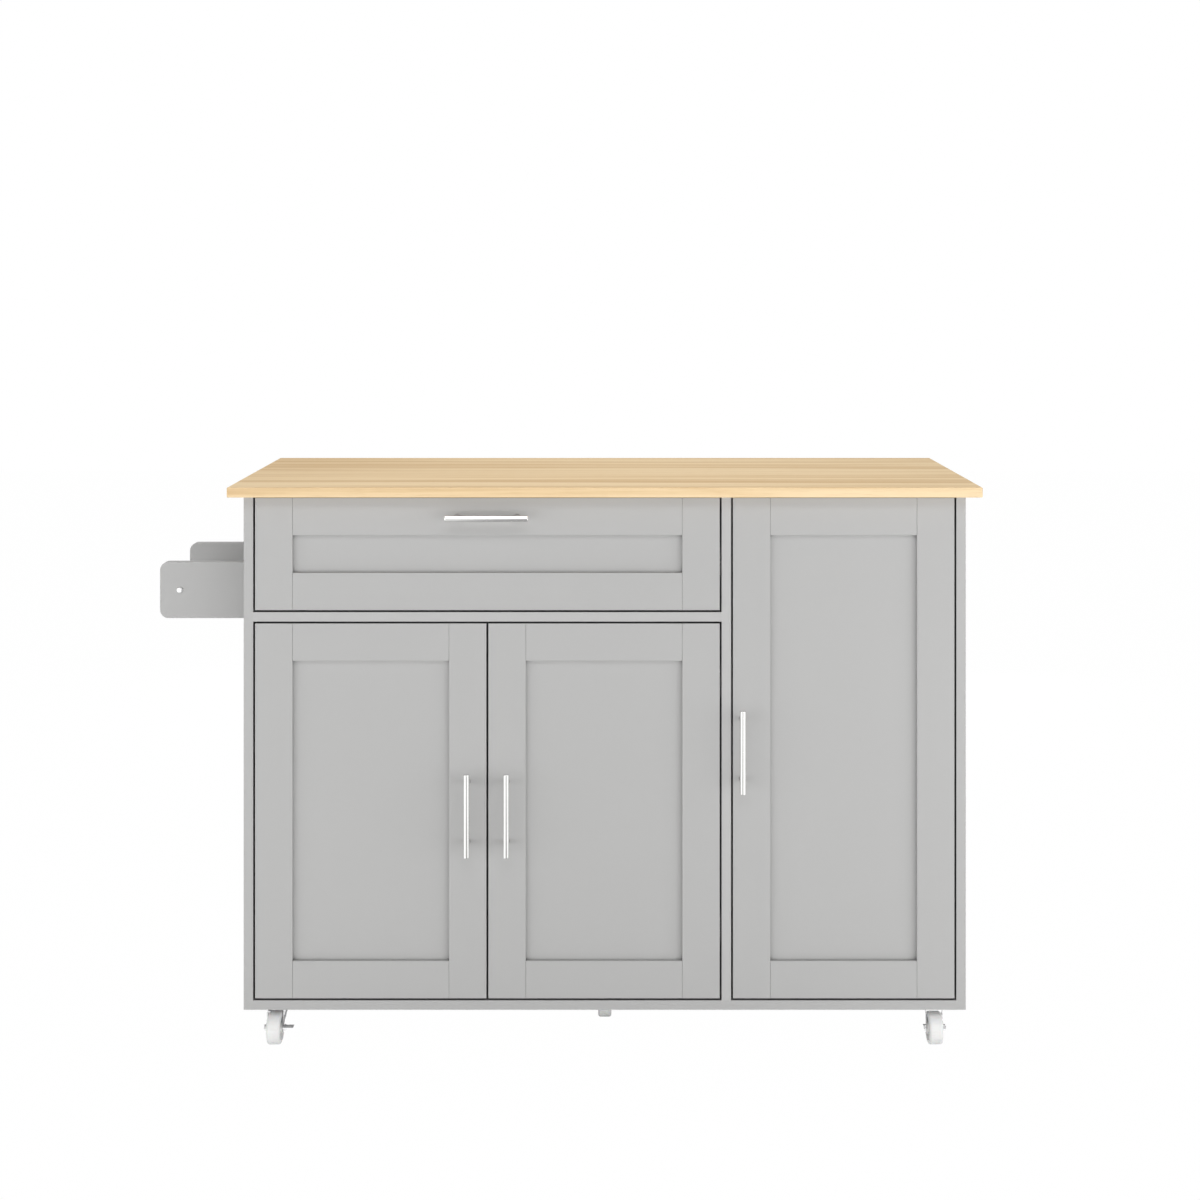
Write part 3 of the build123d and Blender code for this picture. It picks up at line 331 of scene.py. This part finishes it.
paintLook = {"colour": rgb(0.416, 0.415, 0.412), "roughness": 0.40}
boardLook = {"colour": rgb(0.440, 0.439, 0.436), "roughness": 0.50}
sprayed = {  # what the painted boards and frames share
    # near-black painted shade for gaps, recesses and corners, with how far it reaches; the lighter edge colour is
    # partly wear, partly a painted highlight
    "specular": 0.38, "worn": rgb(0.50, 0.495, 0.485), "gap": rgb(0.030, 0.029, 0.028), "gapReach": 14 * mm,
    "gapRange": (0.04, 0.56), "shadow": 0.955,
    "cloud": (3.1, 3.1, 3.1), "cloudPlace": (0.3, 0.9, 0.1), "cloudShare": 0.5, "cloudGloss": 0.04,
    "skin": (620.0, 620.0, 620.0), "skinRough": 0.6, "skinShare": 0.12, "skinGloss": 0.09,
    "ripple": (90.0, 90.0, 90.0), "speck": (2100.0, 2100.0, 2100.0), "speckRange": (0.70, 0.80), "speckShare": 0.10,
    # the edge pattern and its share: on the paint, partly wear, partly a painted highlight
    "wear": (55.0, 55.0, 55.0), "wearRange": (0.42, 0.62), "wearWidth": 1.2 * mm, "wearShare": 0.30, "wearGloss": 0.10,
    "reliefSkin": 0.6, "reliefRipple": 0.8, "reliefDepth": 0.05 * mm, "reliefStrength": 0.30,
}


def makePaint(name, look):  # satin sprayed paint with the faint skin that a spray gun leaves, painted shade in its gaps, recesses and corners, and lighter edges that are partly wear, partly a painted highlight
    paint = Finish(name, **{"Specular IOR Level": sprayed["specular"]})
    cloud = paint.noise(sprayed["cloud"], offset=sprayed["cloudPlace"])
    skin = paint.noise(sprayed["skin"], 2.0, sprayed["skinRough"])
    ripple = paint.noise(sprayed["ripple"], 1.0)
    speck = paint.smooth(paint.noise(sprayed["speck"], 0.0), *sprayed["speckRange"])
    # lighter patches along the edges: partly wear, partly a painted highlight
    worn = paint.edges(sprayed["wearWidth"]) * paint.smooth(paint.noise(sprayed["wear"]), *sprayed["wearRange"])
    mottled = cloud * sprayed["cloudShare"] + skin * sprayed["skinShare"]
    shade = paint.blend(mottled, look["colour"], darker(look["colour"], sprayed["shadow"]))
    shade = paint.blend(worn * sprayed["wearShare"], shade, sprayed["worn"])
    shade = paint.blend(speck * sprayed["speckShare"], shade, sprayed["worn"])
    # painted shade: ambient occlusion darkens gaps, recesses and corners towards near black
    freeOfPaintedShade = paint.smooth(paint.openness(sprayed["gapReach"]), *sprayed["gapRange"])
    paint.feed("Base Color", paint.blend(freeOfPaintedShade, sprayed["gap"], shade))
    dull = skin * sprayed["skinGloss"] - worn * sprayed["wearGloss"] + cloud * sprayed["cloudGloss"]
    paint.feed("Roughness", look["roughness"] + dull)
    height = skin * sprayed["reliefSkin"] + ripple * sprayed["reliefRipple"]
    paint.relief(height, sprayed["reliefDepth"], sprayed["reliefStrength"])
    return paint.material


metalLooks = {  # the depth of the lines is in mm
    "satinNickel": {"light": rgb(0.86, 0.855, 0.845), "dull": rgb(0.76, 0.755, 0.745), "roughness": 0.05,
                    "lines": (40.0, 40.0, 900.0), "depth": 0.0003},
    "brightZinc": {"light": rgb(0.88, 0.885, 0.90), "dull": rgb(0.76, 0.765, 0.78), "roughness": 0.20,
                   "lines": (60.0, 60.0, 60.0), "depth": 0.008},
    "screwZinc": {"light": rgb(0.74, 0.74, 0.74), "dull": rgb(0.50, 0.50, 0.50), "roughness": 0.26,
                  "lines": (700.0, 700.0, 700.0), "depth": 0.003},
    "platedSteel": {"light": rgb(0.82, 0.82, 0.82), "dull": rgb(0.62, 0.62, 0.63), "roughness": 0.16,
                    "lines": (160.0, 160.0, 160.0), "depth": 0.004},
    "brakeSteel": {"light": rgb(0.86, 0.86, 0.87), "dull": rgb(0.72, 0.72, 0.73), "roughness": 0.20,
                   "lines": (220.0, 220.0, 220.0), "depth": 0.006},
}
metalLooks["pinZinc"] = metalLooks["brightZinc"]
polished = {  # what all the metals share
    "lineRough": 0.6, "lineShare": 0.35, "lineGloss": 0.10, "cloud": (38.0, 38.0, 38.0), "cloudShare": 0.55,
    "smudge": (85.0, 85.0, 85.0), "smudgeRough": 0.6, "smudgePlace": (0.4, 0.1, 0.8), "smudgeRange": (0.50, 0.72),
    "smudgeGloss": 0.07, "wearWidth": 0.5 * mm, "wearShare": 0.5, "wearGloss": 0.05, "reliefStrength": 0.5,
}


def makeMetal(name):
    look = metalLooks[name]
    metal = Finish(name, Metallic=1.0)
    lines = metal.noise(look["lines"], 2.0, polished["lineRough"])
    cloud = metal.noise(polished["cloud"])
    smudge = metal.noise(polished["smudge"], 3.0, polished["smudgeRough"], offset=polished["smudgePlace"])
    smudge = metal.smooth(smudge, *polished["smudgeRange"])
    worn = metal.edges(polished["wearWidth"])
    mottled = (cloud * polished["cloudShare"] + lines * polished["lineShare"]).clipped()
    shade = metal.blend(mottled, look["light"], look["dull"])
    metal.feed("Base Color", metal.blend(worn * polished["wearShare"], shade, look["light"]))
    dull = lines * polished["lineGloss"] + smudge * polished["smudgeGloss"] - worn * polished["wearGloss"]
    metal.feed("Roughness", look["roughness"] + dull)
    metal.relief(lines, look["depth"] * mm, polished["reliefStrength"])
    return metal.material


nylonLook = {
    "colour": rgb(0.78, 0.78, 0.775), "scuffed": rgb(0.68, 0.675, 0.66), "roughness": 0.42, "specular": 0.45,
    "soft": 0.08, "softReach": 0.003, "grain": (1400.0, 1400.0, 1400.0), "grainGloss": 0.08,
    "scuffs": (60.0, 320.0, 320.0), "scuffRough": 0.65, "scuffRange": (0.50, 0.66), "scuffShare": 0.28,
    "scuffGloss": 0.14, "wearWidth": 1.0 * mm, "wearShare": 0.12,
    "reliefGrain": 0.5, "reliefScuffs": 0.3, "reliefDepth": 0.04 * mm, "reliefStrength": 0.4,
}


def makeNylon(name):
    look = nylonLook
    nylon = Finish(name, **{
        "Specular IOR Level": look["specular"],
        "Subsurface Weight": look["soft"], "Subsurface Scale": look["softReach"],
    })
    fine = nylon.noise(look["grain"])
    scuffs = nylon.smooth(nylon.noise(look["scuffs"], 3.0, look["scuffRough"]), *look["scuffRange"])
    worn = nylon.edges(look["wearWidth"])
    mottled = (scuffs * look["scuffShare"] + worn * look["wearShare"]).clipped()
    nylon.feed("Base Color", nylon.blend(mottled, look["colour"], look["scuffed"]))
    nylon.feed("Roughness", look["roughness"] + scuffs * look["scuffGloss"] + fine * look["grainGloss"])
    height = fine * look["reliefGrain"] + scuffs * look["reliefScuffs"]
    nylon.relief(height, look["reliefDepth"], look["reliefStrength"])
    return nylon.material


finishes = {
    "worktop_wood": makeWood("worktopWood", worktopLook),
    "grey_paint": makePaint("greyPaint", paintLook),
    "grey_board": makePaint("greyBoard", boardLook),
    "rack_rod_metal": makePaint("greyDowel", paintLook),
    "drawer_wood": makeWood("drawerWood", innerWoodLook),
    "handle_metal": makeMetal("satinNickel"),
    "zinc_steel": makeMetal("brightZinc"),
    "fastener_steel": makeMetal("screwZinc"),
    "shelf_pin_steel": makeMetal("pinZinc"),
    "castor_steel": makeMetal("platedSteel"),
    "brake_steel": makeMetal("brakeSteel"),
    "wheel_nylon": makeNylon("wheelNylon"),
}
print("finishes made:", len(finishes))

for node, piece in frame["nodes"].items():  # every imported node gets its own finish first
    piece.data.materials.clear()
    piece.data.materials.append(finishes[slotOf[node]])
    for face in piece.data.polygons:
        face.material_index = 0


def keepShape(node, name, width):  # a board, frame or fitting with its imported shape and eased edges
    piece = mergedCopy(node)
    if width:
        easeEdges(piece, width * mm)
    settle(piece, name, node, finishes[slotOf[node]])


easedNodes = {  # node: piece, edge radius in mm
    "worktop": ("worktopBoard", 0.0),
    "side_panel_left": ("leftSideBoard", 0.5), "side_panel_right": ("rightSideBoard", 0.5),
    "divider_panel": ("dividerBoard", 0.5), "floor_panel": ("floorBoard", 0.5), "drawer_deck": ("deckBoard", 0.5),
    "top_stretchers": ("topStretchers", 0.5),
    "cupboard_shelf": ("cupboardShelf", 0.5), "tall_cupboard_shelves": ("tallCupboardShelves", 0.5),
    "drawer_front_stiles": ("drawerFrontStiles", 0.5), "drawer_front_rails": ("drawerFrontRails", 0.5),
    "drawer_front_panel": ("drawerFrontPanel", 0.3), "drawer_sides": ("drawerSides", 0.6),
    "drawer_inner_front": ("drawerInnerFront", 0.6), "drawer_back": ("drawerBack", 0.6),
    "drawer_bottom": ("drawerBottom", 0.3), "shelf_pins": ("shelfPins", 0.25),
    "hinge_arms": ("hingeArms", 0.2),
    "runner_outer_members": ("cabinetRunners", 0.25), "runner_middle_members": ("middleRunners", 0.25),
    "runner_drawer_members": ("drawerRunners", 0.25),
}
frameEdges = {"stiles": 0.5, "rails": 0.5, "panel": 0.3}
for door in ("left", "centre", "tall"):
    for part, width in frameEdges.items():
        easedNodes[f"door_{door}_{part}"] = (camelName(f"{door}_door_{part}"), width)
brakeEdge = 0.35
for castor in castors:
    if castor + "_brake" in frame["nodes"]:
        easedNodes[castor + "_brake"] = (camelName(castor + "_brake"), brakeEdge)
for node, (name, width) in easedNodes.items():
    keepShape(node, name, width)
print("boards, frames and fittings eased:", len(easedNodes))


def turned(rings, vertices, hollow=False):  # rings of (radius, height) along Z; hollow ones end where they start
    clearSelection()
    radius, height = rings[0]
    bpy.ops.mesh.primitive_circle_add(
        vertices=vertices, radius=radius, fill_type="NOTHING" if hollow else "NGON", location=(0, 0, height),
    )
    piece = bpy.context.active_object
    applyPlace(piece)
    bpy.ops.object.mode_set(mode="EDIT")
    bpy.ops.mesh.select_all(action="SELECT")
    for nextRadius, nextHeight in rings[1:]:
        bpy.ops.mesh.extrude_region_move(TRANSFORM_OT_translate={"value": (0, 0, nextHeight - height)})
        grow = nextRadius / radius
        bpy.ops.transform.resize(value=(grow, grow, 1), center_override=(0, 0, nextHeight))
        radius, height = nextRadius, nextHeight
    bpy.ops.mesh.select_all(action="SELECT")
    bpy.ops.mesh.remove_doubles(threshold=0.01 * mm)
    bpy.ops.mesh.normals_make_consistent(inside=False)
    backToObject()
    return piece


def copyTo(piece, place, turn):  # a copy with its own mesh
    fresh = piece.copy()
    fresh.data = piece.data.copy()
    bpy.context.scene.collection.objects.link(fresh)
    fresh.location = place
    fresh.rotation_euler = turn
    applyPlace(fresh)
    return fresh


def along(way):  # the turn that lays the Z axis along way
    return Vector(way).to_track_quat("Z", "Y").to_euler()


def subtract(piece, cutter):
    makeActive(piece)
    carve = piece.modifiers.new("carve", "BOOLEAN")
    carve.operation = "DIFFERENCE"
    carve.solver = "EXACT"
    carve.object = cutter
    bpy.ops.object.modifier_apply(modifier=carve.name)
    bpy.data.objects.remove(cutter)


screwShape = {  # the dome is in shares of the head's radius and height, the lengths in mm, the rest in shares
    "dome": ((0.05, 0), (0.62, 0.02), (0.84, 0.13), (0.955, 0.33), (1, 0.6)), "vertices": 40,
    "crossLength": 0.62, "crossWidth": 0.17, "crossDepth": 0.55,
    "pitch": 1.2, "plainNeck": 1.0, "plainEnds": 3.0, "root": 0.82, "crest": 0.45, "valley": 0.9,
    "taper": 1.6, "taperTop": 0.8, "tip": 0.12,
}


def makeScrew(head, thick, shank, length):  # head at the origin's side, tip up the Z axis
    shape = screwShape
    rings = [(head * across, thick * up) for across, up in shape["dome"]] + [(head, thick), (shank, thick)]
    pitch = shape["pitch"] * mm
    root = shank * shape["root"]
    turns = int((length - thick - shape["plainEnds"] * mm) / pitch)
    for turn in range(turns):  # rings of thread
        foot = thick + shape["plainNeck"] * mm + turn * pitch
        rings += [(root, foot), (shank, foot + shape["crest"] * pitch), (root, foot + shape["valley"] * pitch)]
    rings += [(shank * shape["taperTop"], length - shape["taper"] * mm), (shank * shape["tip"], length)]
    screw = turned(rings, shape["vertices"])
    reach, slot = head * shape["crossLength"] * 2, head * shape["crossWidth"] * 2
    depth = thick * shape["crossDepth"] * 2
    for size in ((reach, slot, depth), (slot, reach, depth)):
        clearSelection()
        bpy.ops.mesh.primitive_cube_add(size=1, location=(0, 0, 0), scale=size)
        cutter = bpy.context.active_object
        applyPlace(cutter)
        subtract(screw, cutter)
    return screw


measuring = {"sameEnd": 0.05 * mm, "offAxis": 0.5 * mm, "rim": 0.97}


def screwPlaces(node):  # where each screw of a node stands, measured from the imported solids
    mergedCopy(node)
    bpy.ops.object.mode_set(mode="EDIT")
    bpy.ops.mesh.select_all(action="SELECT")
    bpy.ops.mesh.separate(type="LOOSE")
    backToObject()
    places = []
    for part in list(bpy.context.selected_objects):
        points = [vertex.co.copy() for vertex in part.data.vertices]
        bpy.data.objects.remove(part)
        low = Vector([min(point[axis] for point in points) for axis in range(3)])
        high = Vector([max(point[axis] for point in points) for axis in range(3)])
        centre, size = (low + high) / 2, high - low
        long = max(range(3), key=lambda axis: size[axis])
        way = Vector([float(axis == long) for axis in range(3)])

        def off(point):  # how far a point is from the screw's own axis
            return ((point - centre) - way * (point - centre).dot(way)).length

        foot, top = (
            max(off(point) for point in points if abs(point[long] - end[long]) < measuring["sameEnd"])
            for end in (low, high)
        )
        if top > foot:
            way = -way
        head = max(off(point) for point in points)
        start = Vector(centre)
        start[long] = low[long] if way[long] > 0 else high[long]
        shank = min(off(point) for point in points if off(point) > measuring["offAxis"])
        thick = max((point - start).dot(way) for point in points if off(point) > head * measuring["rim"])
        places.append((start, way, head, thick, shank, size[long]))
    return places


def makeScrews(node, name):
    models, screws = {}, []
    for start, way, *measures in screwPlaces(node):
        size = tuple(round(value / mm, 1) * mm for value in measures)
        if size not in models:
            models[size] = makeScrew(*size)
        screws.append(copyTo(models[size], start, along(way)))
    for model in models.values():
        bpy.data.objects.remove(model)
    settle(joinPieces(screws), name, node, finishes[slotOf[node]], easeLook["turnedSmooth"])


for node, name in (("rack_screws", "rackScrews"), ("castor_screws", "castorScrews"),
                   ("drawer_front_screws", "drawerFrontScrews"), ("carcass_screws", "carcassScrews")):
    makeScrews(node, name)
print("screws made")


handleShape = {  # mm, apart from the steps, vertices and shares
    "barRadius": 5.0, "endRound": 0.9, "endSteps": 4, "endFace": 0.4, "barVertices": 64,
    "postRadius": 4.0, "neck": 0.93, "neckStart": 0.72, "neckEnd": 0.5, "flare": 1.1, "postVertices": 40,
    "collarRadius": 4.9, "collarThick": 1.6, "collarSlope": 1.2, "collarEase": 0.25, "pitch": 96.0,
    "screwHead": 4.0, "screwThick": 2.5, "screwShank": 2.0, "screwLength": 28.0,
}


def makeHandle():  # lengthwise along Z, its bar's middle line through the origin, its posts towards +Y
    shape = handleShape
    low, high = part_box("door_left_handle")
    half = (high.z - low.z) / 2
    radius, ease = shape["barRadius"] * mm, shape["endRound"] * mm
    rings = [(radius * shape["endFace"], -half)]
    for step in range(shape["endSteps"] + 1):
        turn = radians(90 * step / shape["endSteps"])
        rings.append((radius - ease + ease * sin(turn), -half + ease - ease * cos(turn)))
    rings += [(ringRadius, -height) for ringRadius, height in reversed(rings)]
    bar = turned(rings, shape["barVertices"])
    out = frontY - (low.y + radius)  # from the bar's middle line to the cabinet's front
    collar, post, foot = shape["collarRadius"] * mm, shape["postRadius"] * mm, shape["collarThick"] * mm
    neck, slope, edge = post * shape["neck"], shape["collarSlope"] * mm, shape["collarEase"] * mm
    postModel = turned([
        (neck, radius * shape["neckStart"]), (neck, radius + shape["neckEnd"] * mm),
        (post, radius + shape["flare"] * mm),
        (post, out - foot - slope), (collar, out - foot), (collar, out - edge), (collar - edge, out),
    ], shape["postVertices"])
    parts = [bar]
    for side in (-1, 1):
        parts.append(copyTo(postModel, (0, 0, side * shape["pitch"] / 2 * mm), along((0, 1, 0))))
    bpy.data.objects.remove(postModel)
    return joinPieces(parts), out


def makeHandles():
    model, out = makeHandle()
    shape = handleShape
    screwModel = makeScrew(*(shape[key] * mm for key in ("screwHead", "screwThick", "screwShank", "screwLength")))
    for node, name in (("door_left_handle", "leftDoorHandle"), ("door_centre_handle", "centreDoorHandle"),
                       ("door_tall_handle", "tallDoorHandle"), ("drawer_handle", "drawerHandle")):
        low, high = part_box(node)
        upright = high.z - low.z > high.x - low.x
        lengthwise = Vector((0, 0, 1)) if upright else Vector((1, 0, 0))
        place = Vector(((low.x + high.x) / 2, frontY - out, (low.z + high.z) / 2))
        parts = [copyTo(model, place, (0, 0 if upright else radians(90), 0))]
        for side in (-1, 1):
            foot = place + lengthwise * (side * shape["pitch"] / 2 * mm)
            foot.y = high.y
            parts.append(copyTo(screwModel, foot, along((0, -1, 0))))
        settle(joinPieces(parts), name, node, finishes["handle_metal"], easeLook["turnedSmooth"])
    bpy.data.objects.remove(model)
    bpy.data.objects.remove(screwModel)


makeHandles()
print("handles made")


rackShape = {  # mm, apart from the share of the radius, the counts and the angle
    "corner": 14.0, "cornerSteps": 18, "ease": 1.2, "easeSteps": 3, "easeAngle": 40, "nearEdge": 1.0,
    "rodEase": 1.0, "rodEnd": 0.3, "rodVertices": 64,
}


def makeBracket(node, name):
    low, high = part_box(node)
    near = rackShape["nearEdge"] * mm
    clearSelection()
    bpy.ops.mesh.primitive_cube_add(size=1, location=(low + high) / 2, scale=high - low)
    plate = bpy.context.active_object
    applyPlace(plate)
    bpy.ops.object.mode_set(mode="EDIT")
    bpy.ops.mesh.select_mode(type="EDGE")
    bpy.ops.mesh.select_all(action="DESELECT")
    backToObject()
    for edge in plate.data.edges:  # the two free corners, which run front to back
        first, second = (plate.data.vertices[index].co for index in edge.vertices)
        edge.select = abs(first.y - second.y) > near and first.x < low.x + near
    bpy.ops.object.mode_set(mode="EDIT")
    bpy.ops.mesh.bevel(offset=rackShape["corner"] * mm, segments=rackShape["cornerSteps"], affect="EDGES")
    backToObject()
    easeEdges(plate, rackShape["ease"] * mm, rackShape["easeSteps"], rackShape["easeAngle"])
    settle(plate, name, node, finishes[slotOf[node]])


def makeRackRod():
    low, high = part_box("rack_rod")
    radius, ease, length = (high.z - low.z) / 2, rackShape["rodEase"] * mm, high.y - low.y
    face = radius * rackShape["rodEnd"]
    model = turned([
        (face, 0), (radius - ease, 0), (radius, ease), (radius, length - ease), (radius - ease, length), (face, length),
    ], rackShape["rodVertices"])
    rod = copyTo(model, ((low.x + high.x) / 2, low.y, (low.z + high.z) / 2), along((0, 1, 0)))
    bpy.data.objects.remove(model)
    settle(rod, "rackRod", "rack_rod", finishes["rack_rod_metal"])


makeBracket("rack_bracket_front", "frontRackBracket")
makeBracket("rack_bracket_rear", "rearRackBracket")
makeRackRod()
print("towel rack made")


wheelShape = {  # mm, apart from the counts
    "halfTread": 11.0, "edge": 4.0, "edgeSteps": 5, "shoulder": 0.2, "dishDepth": 6.0, "rimWall": 6.5,
    "rimEase": 0.7, "rimFillet": (1.6, 0.6, 0.9), "hubRadius": 8.5, "hubEase": 0.6, "hubFillet": (0.8, 1.8),
    "bore": 3.06, "partLine": 0.18, "partStart": 0.5, "partFloor": 0.25, "vertices": 72,
}
edgeShare = 0.999  # keeps the rounded edge's last ring off the tread's first


def makeWheel(node):
    low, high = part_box(node)
    radius, half = (high.z - low.z) / 2, (high.x - low.x) / 2
    shape = {key: value * mm for key, value in wheelShape.items() if isinstance(value, float)}
    tread, edge, hub = shape["halfTread"], shape["edge"], shape["hubRadius"]
    face = radius - edge
    rim = face - shape["rimWall"] + edge
    dish = tread - shape["dishDepth"]
    hubEase, rimEase = shape["hubEase"], shape["rimEase"]
    hubNear, hubFar = (value * mm for value in wheelShape["hubFillet"])
    rimFar, rimNear, rimRise = (value * mm for value in wheelShape["rimFillet"])
    side = [
        (shape["bore"], half), (hub - hubEase, half), (hub, half - hubEase), (hub + hubNear, dish + hubNear),
        (hub + hubFar, dish), (rim - rimFar, dish), (rim - rimNear, dish + rimRise), (rim, tread - rimEase),
        (rim + rimEase, tread), (face - shape["shoulder"], tread),
    ]
    steps = wheelShape["edgeSteps"]
    for step in range(1, steps + 1):
        turn = radians(90 * step / steps)
        side.append((face + edge * sin(turn) * edgeShare, tread - edge + edge * cos(turn)))
    side += [(radius, shape["partStart"]), (radius - shape["partLine"], shape["partFloor"])]
    rings = side + [(ring, -place) for ring, place in reversed(side)] + [side[0]]
    model = turned(rings, wheelShape["vertices"], hollow=True)
    wheel = copyTo(model, (low + high) / 2, along((1, 0, 0)))
    bpy.data.objects.remove(model)
    settle(wheel, camelName(node), node, finishes["wheel_nylon"], easeLook["turnedSmooth"])


for castor in castors:
    makeWheel(castor + "_wheel")
print("wheels made:", len(castors))


roomLook = {
    "size": 16.0, "grid": 8, "floor": rgb(0.86, 0.86, 0.855), "shade": rgb(0.8, 0.8, 0.795), "roughness": 0.9,
    "lumps": (2.0, 2.0, 2.0), "lumpShare": 0.04, "glow": 0.995, "white": rgb(1.0, 1.0, 1.0),
    # the darker strip and the brighter glow are only seen in reflections: painted reflections
    "runner": rgb(0.32, 0.32, 0.32), "runnerHalf": 0.40, "runnerEdge": (0.55, 1.3), "floorMirrored": 1.3,
    "fill": 0.18, "mirrored": 0.55, "backdrop": 1.0, "aimHeight": 0.55,
}
lightLook = {  # place from the foot of the cabinet's front, size across and up, watts, seen in reflections
    "leftSoftbox": ((-2.3, -1.95, 0.45), (3.0, 1.7), 46.0, True),
    "rightSoftbox": ((2.35, -1.9, 0.45), (3.0, 1.7), 62.0, True),
    "highSoftbox": ((0.0, -2.6, 3.0), (2.2, 1.0), 31.0, True),
    "lowSoftbox": ((0.0, -3.2, 0.35), (2.4, 0.6), 11.0, False),
    "topSoftbox": ((0.0, 0.3, 3.1), (2.6, 0.8), 40.0, True),
    "backSoftbox": ((0.1, 2.7, 0.45), (2.6, 0.7), 40.0, True),
}


def makeFloor():  # a plain white floor to the camera; to reflections it glows brighter, with a darker strip in front of the cabinet that is a painted reflection
    clearSelection()
    bpy.ops.mesh.primitive_grid_add(
        x_subdivisions=roomLook["grid"], y_subdivisions=roomLook["grid"],
        size=roomLook["size"], location=(middleX, 0, 0),
    )
    floor = bpy.context.active_object
    floor.name = "studioFloor"
    applyPlace(floor)
    paper = Finish("studioPaper", Roughness=roomLook["roughness"])
    lumps = paper.noise(roomLook["lumps"]) * roomLook["lumpShare"]
    paper.feed("Base Color", paper.blend(lumps, roomLook["floor"], roomLook["shade"]))
    aside = abs(paper.axes(paper.place)[0] - middleX)
    clear = paper.smooth(aside, *(roomLook["runnerHalf"] * share for share in roomLook["runnerEdge"]))

    def glowing(colour, strength):
        return paper.node("ShaderNodeEmission", {}, {"Color": colour, "Strength": strength})

    # painted reflection: to glossy rays the floor glows, white beside the cabinet and darker in a strip in front of it
    bright = roomLook["floorMirrored"]
    reflected = paper.mixShaders(clear, glowing(roomLook["runner"], bright), glowing(roomLook["white"], bright))
    surface = paper.mixShaders(paper.ray("Glossy"), Signal(paper, paper.shader.outputs[0]), reflected)
    seen = paper.ray("Camera") * roomLook["glow"]
    paper.finishWith(paper.mixShaders(seen, surface, glowing(roomLook["white"], 1.0)), "Material Output")
    floor.data.materials.append(paper.material)


def makeWorld():
    world = bpy.data.worlds.new("studio")
    bpy.context.scene.world = world
    world.use_nodes = True
    world.node_tree.nodes.remove(world.node_tree.nodes["Background"])
    sky = NodeMaker(world.node_tree)
    fill, mirrored, backdrop = (
        sky.node("ShaderNodeBackground", {}, {"Color": roomLook["white"], "Strength": roomLook[key]})
        for key in ("fill", "mirrored", "backdrop")
    )
    unseen = sky.mixShaders(sky.ray("Glossy"), fill, mirrored)
    sky.finishWith(sky.mixShaders(sky.ray("Camera"), unseen, backdrop), "World Output")


def makeLights():
    target = Vector((middleX, frontY, roomLook["aimHeight"]))
    for name, (offset, size, watts, reflected) in lightLook.items():
        data = bpy.data.lights.new(name, "AREA")
        data.shape = "RECTANGLE"
        data.size, data.size_y = size
        data.energy = watts
        light = bpy.data.objects.new(name, data)
        bpy.context.scene.collection.objects.link(light)
        light.location = Vector((middleX, frontY, 0)) + Vector(offset)
        light.rotation_euler = (target - light.location).to_track_quat("-Z", "Y").to_euler()
        light.visible_camera = False
        light.visible_glossy = reflected


cameraLook = {
    "back": 2.7565, "height": 1.2342, "aside": 0.0024,
    "lens": 51.7, "sensor": 36.0, "shiftX": -0.0052, "shiftY": -0.2692,
}


def makeCamera():
    data = bpy.data.cameras.new("frontCamera")
    data.lens = cameraLook["lens"]
    data.sensor_width = cameraLook["sensor"]
    data.shift_x = cameraLook["shiftX"]
    data.shift_y = cameraLook["shiftY"]
    camera = bpy.data.objects.new("frontCamera", data)
    bpy.context.scene.collection.objects.link(camera)
    camera.location = (middleX + cameraLook["aside"], frontY - cameraLook["back"], cameraLook["height"])
    camera.rotation_euler = (radians(90), 0, 0)
    bpy.context.scene.camera = camera
    bpy.context.scene.view_settings.view_transform = "Standard"


makeFloor()
makeWorld()
makeLights()
makeCamera()
print("floor, world, lights and camera made")
